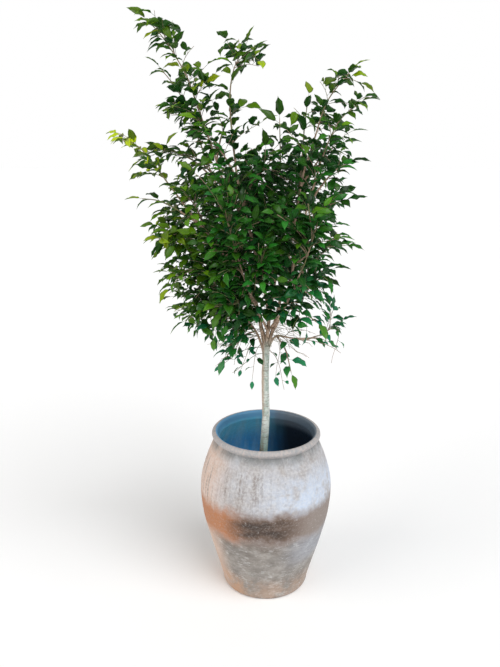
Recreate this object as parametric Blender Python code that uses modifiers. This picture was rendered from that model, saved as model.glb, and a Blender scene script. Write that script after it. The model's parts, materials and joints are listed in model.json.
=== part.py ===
"""A weeping fig trained as a small tree, standing in a tall earthenware jar.

Metres, +Z up. The origin is the middle of the jar's flat base, and -Y is the side that is looked at.
The jar is turned, the soil fills its lower part, and the trunk stands in a plain hole in the soil.
The trunk carries woody boughs. Each leafy branch is its own solid, and starts square against the end
of a woody arm, with a hair's gap. Every leaf has a stalk, a folded blade and a drip tip.
"""

import math
import random
from dataclasses import dataclass, field

import bmesh
import bpy
from mathutils import Matrix, Vector
from mathutils.bvhtree import BVHTree

# Jar
JAR_HEIGHT = 0.600
JAR_WALL = 0.016
JAR_FLOOR = 0.022
JAR_FOOT_ROUND = 0.012
JAR_SIDES = 32
# Height and outer radius of the jar's side, from the foot to the neck.
JAR_SIDE = [
    (0.018, 0.1585),
    (0.100, 0.1808),
    (0.190, 0.2064),
    (0.270, 0.2264),
    (0.330, 0.2356),
    (0.380, 0.2386),
    (0.430, 0.2340),
    (0.490, 0.2180),
    (0.540, 0.1987),
    (0.573, 0.1838),
]
LIP_RADIUS = 0.0107
LIP_CENTRE = (0.1846, JAR_HEIGHT - LIP_RADIUS)
LIP_ARC = (190, -80)
LIP_PIECES = 6
FOOT_ARC = (0, -90)
FOOT_PIECES = 2
EARTHENWARE = (0.42, 0.34, 0.30)

# Soil
SOIL_TOP = 0.385
SOIL_CROWN = 0.006
SOIL_COLOUR = (0.035, 0.025, 0.018)
HOLE_SIDES = 20
GAP = 0.0003
WELD = 1e-5

# Woody frame
TRUNK_BASE = 0.270
TRUNK_SIDES = 10
BOUGH_SIDES = 6
TWIG_SIDES = 4
TRUNK_RADIUS_LOW = 0.0155
TRUNK_RADIUS_TOP = 0.0122
STEM_TIP_RADIUS = 0.0016
ARM_LENGTH = 0.035
ARM_RADIUS = 0.0030
TOP_RADIUS_SHARE = 0.5
WOODY_STEP = 0.115
LEAFY_STEP = 0.080
LEAST_PIECES = 4
BARK_COLOUR = (0.30, 0.25, 0.18)
# A side branch leaves between the bough's direction and its own, and arrives sinking a little.
LEAVE_ALONG = 0.55
LEAVE_AHEAD = 0.85
ARRIVE_SINKING = 0.45
HANDLE_SHARES = (0.36, 0.34)

# Leaves, with angles in degrees
SEED = 23
LEAF_LENGTH = (0.050, 0.066)
LEAF_WIDTH_SHARE = 0.48
LEAF_THICKNESS = 0.0012
LEAF_FOLD = (8, 18)
LEAF_DROOP = (50, 88)
TIP_LEAF_DROOP = (20, 45)
LEAF_SLOPE = (0.00, 0.70)
LEAF_ROLL = 15
LEAF_COLOUR = (0.045, 0.16, 0.03)
# The blade's half width is a product of powers of the share before and after a place on its rib.
WIDTH_POWERS = (0.6, 1.05)
WIDTH_PEAK = 0.342
# How much of sideways, the stem's direction, outwards and upwards a leaf's direction takes.
LEAF_MIX = (0.65, 0.40, 0.50)
TIP_LEAF_MIX = (0.25, 1.00, 0.20)
TIP_LEAF_SINKING = 0.1
STALK_MIX = (0.6, 0.5, 0.2)
STALK_TOWARDS_BLADE = 0.5
NORMAL_OUTWARD = 0.2
BLADE_SHARES = (0.30, 0.68)
STALK_LENGTH = 0.013
STALK_RADIUS = 0.0008
LEAF_SPACING = 0.0250
FIRST_LEAF = 0.020
LAST_LEAF = 0.003
UPRIGHT = 0.8
SPIRAL_TURN = 137.5
ROW_TURN = 180
TURN_SWAY = 20
START_SWAY = 30
TURNS_TRIED = (0, 35, -35, 70, -70, 105, -105)


@dataclass
class Bough:
    """A bough: what it leaves and where, its route, its thickness, and the branches it bears.

    parent and share give the stem that it leaves, and how far along that stem.
    points are the route's points after that. leafy_from is the share of its length where its
    leafy top starts. side_tips holds, for each side branch, the share along this bough where
    it leaves, and where its stem ends.
    """

    parent: str
    share: float
    points: list
    radius: float
    leafy_from: float
    side_tips: list = field(default_factory=list)


TRUNK_ROUTE = [
    (-0.014, 0.000, TRUNK_BASE),
    (-0.014, 0.000, 0.400),
    (-0.009, 0.000, 0.510),
    (-0.003, 0.000, 0.600),
    (-0.001, 0.000, 0.670),
    (-0.004, 0.000, 0.780),
    (-0.002, 0.000, 0.915),
]

BOUGHS = {
    "tall_left": Bough(
        "trunk", 0.98,
        [(-0.030, 0.015, 1.03), (-0.075, 0.040, 1.20), (-0.120, 0.050, 1.38), (-0.170, 0.050, 1.54),
         (-0.222, 0.040, 1.69), (-0.262, 0.030, 1.80), (-0.325, 0.010, 1.90), (-0.372, 0.000, 1.950)],
        0.0064, 0.62,
        [(0.16, (-0.130, 0.110, 1.190)), (0.28, (-0.215, 0.100, 1.390)), (0.38, (-0.040, 0.120, 1.480)),
         (0.48, (-0.270, 0.000, 1.560)), (0.58, (-0.120, 0.110, 1.680))],
    ),
    "back_left": Bough(
        "tall_left", 0.24,
        [(-0.135, 0.120, 1.36), (-0.195, 0.155, 1.50), (-0.240, 0.165, 1.62), (-0.295, 0.165, 1.75),
         (-0.355, 0.150, 1.83)],
        0.0050, 0.55,
        [(0.34, (-0.250, 0.240, 1.420)), (0.46, (-0.335, 0.090, 1.570))],
    ),
    "centre": Bough(
        "trunk", 0.99,
        [(0.004, -0.030, 1.04), (-0.028, -0.045, 1.20), (-0.068, -0.045, 1.35), (-0.098, -0.035, 1.48),
         (-0.113, -0.020, 1.60), (-0.121, -0.010, 1.72), (-0.108, 0.000, 1.81), (-0.070, 0.000, 1.88)],
        0.0068, 0.62,
        [(0.16, (0.020, -0.150, 1.140)), (0.24, (-0.110, -0.170, 1.270)), (0.34, (0.050, -0.130, 1.360)),
         (0.42, (-0.160, -0.160, 1.450)), (0.50, (0.010, -0.090, 1.540)), (0.58, (-0.190, -0.090, 1.600))],
    ),
    "middle": Bough(
        "trunk", 0.97,
        [(0.012, 0.040, 1.04), (0.036, 0.080, 1.20), (0.048, 0.095, 1.38), (0.044, 0.100, 1.55),
         (0.040, 0.100, 1.67)],
        0.0056, 0.60,
        [(0.36, (-0.050, 0.190, 1.350)), (0.52, (0.130, 0.170, 1.450))],
    ),
    "tall_right": Bough(
        "trunk", 0.96,
        [(0.036, 0.010, 1.03), (0.066, 0.020, 1.18), (0.090, 0.020, 1.33), (0.112, 0.010, 1.48),
         (0.149, 0.000, 1.607), (0.180, 0.000, 1.705), (0.218, 0.000, 1.762), (0.262, 0.000, 1.812)],
        0.0062, 0.62,
        [(0.20, (0.140, 0.060, 1.130)), (0.32, (0.220, 0.080, 1.320)), (0.42, (0.030, -0.020, 1.400)),
         (0.52, (0.135, 0.105, 1.740)), (0.59, (0.245, 0.060, 1.590))],
    ),
    "right_front": Bough(
        "tall_right", 0.08,
        [(0.045, -0.060, 1.04), (0.066, -0.092, 1.13), (0.082, -0.100, 1.22), (0.105, -0.100, 1.33),
         (0.140, -0.100, 1.46), (0.165, -0.100, 1.55), (0.210, -0.100, 1.650), (0.272, -0.100, 1.705)],
        0.0056, 0.60,
        [(0.22, (0.175, -0.120, 1.170)), (0.34, (0.240, -0.130, 1.280)), (0.48, (0.235, -0.120, 1.420)),
         (0.58, (0.250, -0.060, 1.530))],
    ),
    "left": Bough(
        "trunk", 0.95,
        [(-0.034, -0.030, 1.04), (-0.090, -0.050, 1.18), (-0.170, -0.060, 1.28), (-0.245, -0.060, 1.37),
         (-0.317, -0.050, 1.465), (-0.385, -0.040, 1.555), (-0.425, -0.030, 1.588), (-0.460, -0.020, 1.597)],
        0.0058, 0.60,
        [(0.22, (-0.110, -0.120, 1.070)), (0.32, (-0.190, -0.150, 1.190)), (0.44, (-0.335, -0.100, 1.305)),
         (0.52, (-0.260, -0.130, 1.440)), (0.58, (-0.400, -0.060, 1.420))],
    ),
    "left_low": Bough(
        "trunk", 0.92,
        [(-0.036, -0.010, 0.965), (-0.095, -0.020, 1.04), (-0.165, -0.030, 1.10), (-0.245, -0.040, 1.15),
         (-0.320, -0.050, 1.18)],
        0.0045, 0.52,
        [(0.24, (-0.140, -0.065, 0.890)), (0.36, (-0.230, 0.060, 1.050)), (0.48, (-0.270, -0.100, 1.030))],
    ),
    "right_low": Bough(
        "trunk", 0.94,
        [(0.028, 0.000, 0.945), (0.080, -0.010, 0.945), (0.130, -0.020, 0.940), (0.190, -0.030, 0.965),
         (0.250, -0.035, 1.010)],
        0.0042, 0.50,
        [(0.26, (0.080, -0.100, 0.850)), (0.44, (0.210, 0.040, 0.920))],
    ),
    "front_left": Bough(
        "centre", 0.07,
        [(-0.030, -0.110, 1.06), (-0.070, -0.180, 1.17), (-0.105, -0.230, 1.29), (-0.130, -0.260, 1.40)],
        0.0048, 0.52,
        [(0.36, (-0.140, -0.230, 1.090)), (0.48, (0.000, -0.280, 1.240))],
    ),
    "front_right": Bough(
        "centre", 0.06,
        [(0.040, -0.110, 1.05), (0.075, -0.190, 1.15), (0.110, -0.250, 1.26), (0.135, -0.285, 1.36)],
        0.0046, 0.52,
        [(0.34, (0.150, -0.200, 1.050)), (0.48, (0.190, -0.210, 1.220))],
    ),
    "back_middle": Bough(
        "middle", 0.08,
        [(0.030, 0.120, 1.10), (0.060, 0.195, 1.25), (0.090, 0.250, 1.40), (0.110, 0.280, 1.52)],
        0.0048, 0.55,
        [(0.32, (-0.020, 0.260, 1.170)), (0.50, (0.010, 0.290, 1.400))],
    ),
    "back_low_left": Bough(
        "middle", 0.03,
        [(-0.040, 0.090, 1.03), (-0.100, 0.170, 1.12), (-0.155, 0.240, 1.21), (-0.200, 0.285, 1.28)],
        0.0046, 0.52,
        [(0.40, (-0.190, 0.150, 1.070))],
    ),
    "back_right": Bough(
        "tall_right", 0.06,
        [(0.075, 0.080, 1.05), (0.130, 0.145, 1.15), (0.175, 0.195, 1.27), (0.205, 0.230, 1.38)],
        0.0046, 0.52,
        [(0.34, (0.190, 0.120, 1.060)), (0.48, (0.255, 0.150, 1.240))],
    ),
}


# Curves

def smooth_route(points, step):
    """Points about a step apart along a Catmull-Rom curve through the given points."""
    knots = [Vector(p) for p in points]
    knots = [2 * knots[0] - knots[1], *knots, 2 * knots[-1] - knots[-2]]
    route = []
    for a, b, c, d in zip(knots, knots[1:], knots[2:], knots[3:]):
        pieces = max(1, round((c - b).length / step))
        for k in range(pieces):
            t = k / pieces
            route.append(0.5 * (
                2 * b + (c - a) * t + (2 * a - 5 * b + 4 * c - d) * t * t
                + (3 * b - a - 3 * c + d) * t ** 3
            ))
    return [*route, knots[-2]]


def arched_route(start, along, tip, step):
    """A side branch's route: it leaves along the bough, arches over and weeps a little at its tip."""
    start, tip = Vector(start), Vector(tip)
    reach = (tip - start).length
    ahead = (tip - start).normalized()
    leave = (LEAVE_ALONG * along + LEAVE_AHEAD * ahead).normalized()
    arrive = (ahead - ARRIVE_SINKING * Vector((0, 0, 1))).normalized()
    first, last = HANDLE_SHARES
    handles = (start, start + first * reach * leave, tip - last * reach * arrive, tip)
    pieces = max(LEAST_PIECES, round(reach / step))
    route = []
    for k in range(pieces + 1):
        t = k / pieces
        weights = ((1 - t) ** 3, 3 * t * (1 - t) ** 2, 3 * t * t * (1 - t), t ** 3)
        route.append(sum((w * h for w, h in zip(weights, handles)), Vector()))
    return route


def length_of(route):
    """The length of a route."""
    return sum((b - a).length for a, b in zip(route, route[1:]))


def at(route, distance):
    """The point and the direction of a route at a distance from its start."""
    for a, b in zip(route, route[1:]):
        piece = (b - a).length
        if distance <= piece:
            return a.lerp(b, distance / piece), (b - a).normalized()
        distance -= piece
    return route[-1].copy(), (route[-1] - route[-2]).normalized()


def split(route, distance):
    """The route cut in two in the middle of a straight piece, just past a distance, a hair apart."""
    passed = 0.0
    for k, (a, b) in enumerate(zip(route, route[1:])):
        piece = (b - a).length
        if passed + piece / 2 >= distance or k == len(route) - 3:
            break
        passed += piece
    ahead = (b - a).normalized()
    seat = a.lerp(b, 0.5)
    return [*route[: k + 1], seat - ahead * GAP / 2], [seat + ahead * GAP / 2, *route[k + 1 :]]


def radii_along(route, first, last):
    """The stem's radius at each point, tapering evenly with length."""
    whole = length_of(route)
    done, radii = 0.0, [first]
    for a, b in zip(route, route[1:]):
        done += (b - a).length
        radii.append(first + (last - first) * done / whole)
    return radii


# Solids

def material(name, colour, roughness):
    """A Principled material with a plain colour."""
    made = bpy.data.materials.new(name)
    made.use_nodes = True
    shader = made.node_tree.nodes["Principled BSDF"]
    shader.inputs["Base Color"].default_value = (*colour, 1.0)
    shader.inputs["Roughness"].default_value = roughness
    shader.inputs["Metallic"].default_value = 0.0
    return made


def place(name, mesh, collection):
    """An object for a mesh, in a collection."""
    made = bpy.data.objects.new(name, mesh)
    collection.objects.link(made)
    return made


def stem(name, route, radii, sides, collection):
    """A round tapering stem along a route, as a closed mesh."""
    curve = bpy.data.curves.new(name, "CURVE")
    curve.dimensions = "3D"
    curve.bevel_depth = 1.0
    curve.bevel_resolution = (sides - 4) // 2
    curve.use_fill_caps = True
    spline = curve.splines.new("POLY")
    spline.points.add(len(route) - 1)
    for point, position, radius in zip(spline.points, route, radii):
        point.co = (*position, 1.0)
        point.radius = radius
    guide = place(name + "_route", curve, collection)
    graph = bpy.context.evaluated_depsgraph_get()
    mesh = bpy.data.meshes.new_from_object(guide.evaluated_get(graph))
    made = place(name, mesh, collection)
    made.matrix_world = guide.matrix_world
    bpy.data.objects.remove(guide)
    bpy.data.curves.remove(curve)
    welded = bmesh.new()
    welded.from_mesh(mesh)
    bmesh.ops.remove_doubles(welded, verts=welded.verts, dist=WELD)
    bmesh.ops.recalc_face_normals(welded, faces=welded.faces)
    welded.to_mesh(mesh)
    welded.free()
    return made


def turned(name, profile, sides, collection):
    """A solid of revolution about Z: the profile runs from the axis round to the axis."""
    mesh = bpy.data.meshes.new(name)
    mesh.from_pydata([(r, 0.0, z) for r, z in profile], [(k, k + 1) for k in range(len(profile) - 1)], [])
    made = place(name, mesh, collection)
    screw = made.modifiers.new("turn", "SCREW")
    screw.axis = "Z"
    screw.angle = math.tau
    screw.steps = sides
    screw.render_steps = sides
    screw.use_merge_vertices = True
    screw.merge_threshold = WELD
    return made


def join_all(base, others):
    """Joins the objects of a collection to the base in one Boolean union, applied, and removes them."""
    union = base.modifiers.new("union", "BOOLEAN")
    union.operation = "UNION"
    union.operand_type = "COLLECTION"
    union.collection = others
    bpy.context.view_layer.update()
    graph = bpy.context.evaluated_depsgraph_get()
    mesh = bpy.data.meshes.new_from_object(base.evaluated_get(graph))
    base.modifiers.remove(union)
    base.data = mesh
    for other in list(others.objects):
        bpy.data.objects.remove(other)
    bpy.data.collections.remove(others)


# Jar and soil

def side_radius(height):
    """The jar's outer radius at a height, read between the two nearest measured heights."""
    heights = [h for h, _ in JAR_SIDE]
    k = max(1, min(len(heights) - 1, sum(h < height for h in heights)))
    (h0, r0), (h1, r1) = JAR_SIDE[k - 1], JAR_SIDE[k]
    return r0 + (r1 - r0) * (height - h0) / (h1 - h0)


def inner_side(clearance):
    """The inner wall from the floor up to the neck, moved inwards by a clearance."""
    heights = [JAR_FLOOR, *(h for h, _ in JAR_SIDE[2::2]), JAR_SIDE[-1][0]]
    wall = [(side_radius(h) - JAR_WALL - clearance, h) for h in heights]
    wall[0] = (wall[0][0], JAR_FLOOR + clearance)
    return wall


def arc(centre, radius, first, last, pieces):
    """Points on an arc in the turning plane, with the angles in degrees."""
    angles = [math.radians(first + (last - first) * k / pieces) for k in range(pieces + 1)]
    return [(centre[0] + radius * math.cos(a), centre[1] + radius * math.sin(a)) for a in angles]


def build_jar(collection):
    """The jar: inner wall, rolled lip, belly and rounded foot, turned in one profile."""
    foot_radius = JAR_SIDE[0][1]
    foot_centre = (foot_radius - JAR_FOOT_ROUND, JAR_FOOT_ROUND)
    lip = arc(LIP_CENTRE, LIP_RADIUS, *LIP_ARC, LIP_PIECES)
    outer = [(r, h) for h, r in reversed(JAR_SIDE)]
    foot = arc(foot_centre, JAR_FOOT_ROUND, *FOOT_ARC, FOOT_PIECES)
    profile = [(0.0, JAR_FLOOR), *inner_side(0.0), *lip, *outer, *foot, (0.0, 0.0)]
    jar = turned("jar", profile, JAR_SIDES, collection)
    jar.data.materials.append(material("weathered_earthenware", EARTHENWARE, 0.8))
    return jar


def build_soil(parts, cutters):
    """The soil that fills the jar's lower part, with a plain hole for the trunk."""
    wall = inner_side(GAP)
    above = next(k for k, (_, h) in enumerate(wall) if h > SOIL_TOP)
    (r0, h0), (r1, h1) = wall[above - 1 : above + 1]
    rim = r0 + (r1 - r0) * (SOIL_TOP - h0) / (h1 - h0)
    crest = SOIL_TOP + SOIL_CROWN
    profile = [(0.0, crest), (rim / 2, crest), (rim, SOIL_TOP), *reversed(wall[:above]), (0.0, wall[0][1])]
    soil = turned("soil", profile, JAR_SIDES, parts)
    soil.data.materials.append(material("potting_soil", SOIL_COLOUR, 0.95))
    depth = 2 * (crest - TRUNK_BASE)
    bpy.ops.mesh.primitive_cylinder_add(
        vertices=HOLE_SIDES, radius=TRUNK_RADIUS_LOW + 2 * GAP, depth=depth,
        location=(*TRUNK_ROUTE[0][:2], TRUNK_BASE - GAP + depth / 2),
    )
    cutter = bpy.context.object
    cutter.name = "trunk_hole"
    for linked in list(cutter.users_collection):
        linked.objects.unlink(cutter)
    cutters.objects.link(cutter)
    cutter.hide_render = True
    cutter.display_type = "WIRE"
    hole = soil.modifiers.new("trunk_hole", "BOOLEAN")
    hole.operation = "DIFFERENCE"
    hole.object = cutter
    return soil


# Leaves

@dataclass
class Leaf:
    """One leaf: where its stalk is rooted, which way it goes, and its blade's place and shape."""

    root: Vector
    stalk: Vector
    heading: Vector
    normal: Vector
    length: float
    droop: float
    fold: float

    def blade_start(self):
        """Where the stalk ends and the blade starts."""
        return self.root + self.stalk * STALK_LENGTH

    def rib(self, share):
        """A point of the midrib and the blade's upward normal there: the rib is an arc that droops."""
        angle = max(self.droop * share, 1e-4)
        bend = self.length / self.droop
        forward = bend * math.sin(angle)
        down = bend * (1 - math.cos(angle))
        point = self.blade_start() + self.heading * forward - self.normal * down
        return point, self.normal * math.cos(angle) + self.heading * math.sin(angle)

    def half_width(self, share):
        """Half the blade's width: widest a third of the way out, drawn to a long tip."""
        rise, fall = WIDTH_POWERS
        return 0.5 * LEAF_WIDTH_SHARE * self.length * share ** rise * (1 - share) ** fall / WIDTH_PEAK


def leaf_mesh(name, leaf):
    """The leaf as one closed body: a three-sided stalk, a blade that is thickest at its folded rib,
    and a pointed tip. It lofts between sections of three, four and one corners, split alike above
    and below the blade."""
    across = leaf.heading.cross(leaf.normal).normalized()
    made = bmesh.new()
    rings = []
    base, _ = leaf.rib(0.0)
    for centre, ahead in ((leaf.root, leaf.stalk), (base, leaf.heading)):
        side = (across - across.dot(ahead) * ahead).normalized()
        up = side.cross(ahead)
        corners = [(-0.87, -0.5), (0.87, -0.5), (0.0, 1.0)]
        rings.append([made.verts.new(centre + STALK_RADIUS * (x * side + y * up)) for x, y in corners])
    for share in BLADE_SHARES:
        rib, up = leaf.rib(share)
        half = leaf.half_width(share)
        lift = up * half * math.tan(leaf.fold)
        thick = up * LEAF_THICKNESS / 2
        corners = [rib - across * half + lift, rib - thick, rib + across * half + lift, rib + thick]
        rings.append([made.verts.new(corner) for corner in corners])
    tip = made.verts.new(leaf.rib(1.0)[0])
    root, neck, wide, narrow = rings
    made.faces.new(root)
    for k in range(3):
        made.faces.new((root[k], root[(k + 1) % 3], neck[(k + 1) % 3], neck[k]))
    left, right, top = neck
    for face in ((left, wide[0], top), (wide[0], wide[3], top), (top, wide[3], wide[2]),
                 (top, wide[2], right), (right, wide[2], wide[1]), (right, wide[1], left),
                 (left, wide[1], wide[0])):
        made.faces.new(face)
    for edge in (0, 2):
        for rib_corner in (1, 3):
            made.faces.new((wide[edge], wide[rib_corner], narrow[rib_corner]))
            made.faces.new((wide[edge], narrow[rib_corner], narrow[edge]))
    for k in range(4):
        made.faces.new((narrow[k], narrow[(k + 1) % 4], tip))
    bmesh.ops.recalc_face_normals(made, faces=made.faces)
    mesh = bpy.data.meshes.new(name)
    made.to_mesh(mesh)
    made.free()
    return mesh


def leaf_on(point, along, side, draw, at_tip):
    """A leaf rooted at a stem's point: its stalk leaves sideways, and its blade arches out and down.

    The leaf at a stem's tip goes on along the stem.
    """
    outward = outward_from_trunk(point)
    rise = Vector((0, 0, 1))
    sideways, ahead, out = TIP_LEAF_MIX if at_tip else LEAF_MIX
    slope = -TIP_LEAF_SINKING if at_tip else draw.uniform(*LEAF_SLOPE)
    heading = (sideways * side + ahead * along + out * outward + slope * rise).normalized()
    if at_tip:
        stalk = (2 * along + heading).normalized()
    else:
        sideways, ahead, lift = STALK_MIX
        stalk = sideways * side + ahead * along + lift * rise + STALK_TOWARDS_BLADE * heading
        stalk.normalize()
    up = rise + NORMAL_OUTWARD * outward + 0.01 * side
    normal = (up - up.dot(heading) * heading).normalized()
    roll = Matrix.Rotation(math.radians(draw.gauss(0, LEAF_ROLL)), 3, heading)
    droop = draw.uniform(*(TIP_LEAF_DROOP if at_tip else LEAF_DROOP))
    return Leaf(
        point, stalk, heading, roll @ normal,
        draw.uniform(*LEAF_LENGTH), math.radians(droop), math.radians(draw.uniform(*LEAF_FOLD)),
    )


def side_of(along, turn):
    """A direction square to a stem, turned about it by so many degrees from the level one."""
    level = along.cross(Vector((0, 0, 1)))
    if level.length < 0.25:
        level = Vector((1, 0, 0)) - along.x * along
    return Matrix.Rotation(math.radians(turn), 3, along) @ level.normalized()


def outward_from_trunk(point):
    """The level direction away from the trunk's axis."""
    away = Vector((point.x, point.y, 0.0))
    return away.normalized() if away.length > 0.02 else Vector((0, -1, 0))


class Crown:
    """The leaves and stems placed so far, so that none runs through another."""

    def __init__(self):
        self.placed = {}

    def entry(self, mesh):
        """A mesh's surface, with its middle and its reach."""
        points = [v.co.copy() for v in mesh.vertices]
        faces = [tuple(p.vertices) for p in mesh.polygons]
        middle = sum(points, Vector()) / len(points)
        reach = max((p - middle).length for p in points)
        return BVHTree.FromPolygons(points, faces), middle, reach

    def add(self, mesh):
        """Remembers a mesh."""
        self.placed[mesh.name] = self.entry(mesh)

    def is_clear(self, mesh, own_stem):
        """Whether a mesh crosses nothing that is placed but the stem it grows from."""
        surface, middle, reach = self.entry(mesh)
        return not any(
            name != own_stem and (place - middle).length < span + reach and surface.overlap(other)
            for name, (other, place, span) in self.placed.items()
        )


def add_leaves(branch, route, crown, finish):
    """Roots leaves deep in a branch's stem, on alternate sides, and fuses them with it in one body."""
    draw = random.Random(f"{SEED} {branch.name}")
    own_stem = branch.data.name
    repeats = bpy.data.collections.new(branch.name + "_leaves")
    bpy.context.scene.collection.children.link(repeats)
    leafy_length = length_of(route) - FIRST_LEAF - LAST_LEAF
    count = max(2, round(leafy_length / LEAF_SPACING))
    start_turn = draw.uniform(-START_SWAY, START_SWAY)
    for k in range(count + 1):
        point, along = at(route, FIRST_LEAF + k * leafy_length / count)
        turn = start_turn + k * (SPIRAL_TURN if along.z > UPRIGHT else ROW_TURN)
        for change in TURNS_TRIED:
            side = side_of(along, turn + change + draw.uniform(-TURN_SWAY, TURN_SWAY))
            mesh = leaf_mesh(f"{branch.name}_leaf_{k}", leaf_on(point, along, side, draw, k == count))
            if crown.is_clear(mesh, own_stem):
                crown.add(mesh)
                place(mesh.name, mesh, repeats)
                break
            bpy.data.meshes.remove(mesh)
    join_all(branch, repeats)
    branch.data.materials.clear()
    branch.data.materials.append(finish)


# Trunk, boughs and branches

def routes_of_boughs():
    """Each bough's route, by name, with the trunk's."""
    routes = {"trunk": smooth_route(TRUNK_ROUTE, WOODY_STEP)}
    for name, bough in BOUGHS.items():
        parent = routes[bough.parent]
        start, _ = at(parent, bough.share * length_of(parent))
        routes[name] = smooth_route([start, *bough.points], WOODY_STEP)
    return routes


def build_trunk_and_branches(parts):
    """The woody trunk with its boughs and arms in one body, then the leafy branches beyond them."""
    routes = routes_of_boughs()
    wood = bpy.data.collections.new("wood")
    bpy.context.scene.collection.children.link(wood)
    crown = Crown()
    trunk_radii = radii_along(routes["trunk"], TRUNK_RADIUS_LOW, TRUNK_RADIUS_TOP)
    trunk = stem("trunk", routes["trunk"], trunk_radii, TRUNK_SIDES, parts)
    crown.add(trunk.data)
    branches = []

    def add_stem(name, route, radii, sides, collection):
        made = stem(name, route, radii, sides, collection)
        crown.add(made.data)
        return made

    def add_branch(name, route, radius):
        radii = radii_along(route, radius, STEM_TIP_RADIUS)
        branches.append((add_stem(name, route, radii, TWIG_SIDES, parts), route))

    for name, bough in BOUGHS.items():
        whole = length_of(routes[name])
        woody, leafy = split(routes[name], bough.leafy_from * whole)
        top_radius = TOP_RADIUS_SHARE * bough.radius
        add_stem(f"wood_{name}", woody, radii_along(woody, bough.radius, top_radius), BOUGH_SIDES, wood)
        add_branch(f"branch_{name}_top", leafy, top_radius)
        for k, (share, tip) in enumerate(bough.side_tips, 1):
            start, along = at(routes[name], share * whole)
            arm, rest = split(arched_route(start, along, tip, LEAFY_STEP), ARM_LENGTH)
            add_stem(f"wood_{name}_arm_{k}", arm, [ARM_RADIUS] * len(arm), TWIG_SIDES, wood)
            add_branch(f"branch_{name}_side_{k}", rest, ARM_RADIUS)
    join_all(trunk, wood)
    trunk.data.materials.clear()
    trunk.data.materials.append(material("fig_bark", BARK_COLOUR, 0.85))
    green = material("fig_leaf", LEAF_COLOUR, 0.45)
    for branch, route in branches:
        add_leaves(branch, route, crown, green)


def main():
    """Builds the jar, the soil and the tree in an empty scene."""
    for old in list(bpy.data.objects):
        bpy.data.objects.remove(old)
    parts = bpy.data.collections.new("weeping_fig")
    cutters = bpy.data.collections.new("cutters")
    for collection in (parts, cutters):
        bpy.context.scene.collection.children.link(collection)
    build_jar(parts)
    build_soil(parts, cutters)
    build_trunk_and_branches(parts)
    for made in parts.objects:
        made.data.shade_smooth()


main()
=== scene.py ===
"""The looks of a weeping fig that stands in a tall earthenware jar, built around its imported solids.

Metres, +Z up. The origin is the middle of the jar's base, and -Y is the side that is looked at.
The jar, the soil and the woody frame are turned or drawn out again with their fine relief. Every leafy
branch keeps the stem and the leaves of its solid, each leaf with a finer blade, and gets the side
shoots that fill the crown.
"""

import json
import logging
import math
import random
from dataclasses import dataclass, field
from enum import Enum
from typing import Any, Optional, Sequence

import bmesh
import bpy
import numpy as np
from mathutils import Matrix, Vector, noise
from mathutils.kdtree import KDTree

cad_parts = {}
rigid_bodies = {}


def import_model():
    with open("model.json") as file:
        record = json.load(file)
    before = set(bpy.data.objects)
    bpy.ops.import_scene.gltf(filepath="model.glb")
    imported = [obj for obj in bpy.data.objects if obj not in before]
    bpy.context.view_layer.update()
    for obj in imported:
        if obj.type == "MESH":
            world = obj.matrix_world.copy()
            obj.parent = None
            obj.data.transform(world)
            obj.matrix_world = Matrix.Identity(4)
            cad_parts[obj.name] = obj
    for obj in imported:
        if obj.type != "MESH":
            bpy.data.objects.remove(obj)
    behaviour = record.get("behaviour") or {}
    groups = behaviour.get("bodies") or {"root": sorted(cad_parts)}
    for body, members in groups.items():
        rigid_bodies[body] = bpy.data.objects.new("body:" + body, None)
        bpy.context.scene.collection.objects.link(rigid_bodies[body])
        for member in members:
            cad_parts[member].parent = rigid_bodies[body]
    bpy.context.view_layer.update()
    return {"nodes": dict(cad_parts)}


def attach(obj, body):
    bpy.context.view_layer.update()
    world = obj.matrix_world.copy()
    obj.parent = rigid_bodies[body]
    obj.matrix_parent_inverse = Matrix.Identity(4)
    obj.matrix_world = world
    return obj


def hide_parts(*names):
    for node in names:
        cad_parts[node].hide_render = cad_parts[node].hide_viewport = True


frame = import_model()

log = logging.getLogger("weeping_fig")

Colour = tuple[float, float, float]
RISE = Vector((0.0, 0.0, 1.0))

# The woody frame, as in the solids: it is named by bough, and each bough names the stem that it leaves.
SEED = 23
WOODY_STEP = 0.115
LEAFY_STEP = 0.080
ARM_LENGTH = 0.035
ARM_RADIUS = 0.0030
GAP = 0.0003
TRUNK_ROUTE = [
    (-0.014, 0.000, 0.270),
    (-0.014, 0.000, 0.400),
    (-0.009, 0.000, 0.510),
    (-0.003, 0.000, 0.600),
    (-0.001, 0.000, 0.670),
    (-0.004, 0.000, 0.780),
    (-0.002, 0.000, 0.915),
]


@dataclass
class Bough:
    """A bough: the stem that it leaves and where, its route, its thickness, and its side branches' tips."""

    parent: str
    share: float
    points: list[tuple[float, float, float]]
    radius: float
    leafy_from: float
    side_tips: list[tuple[float, tuple[float, float, float]]] = field(default_factory=list)


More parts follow.
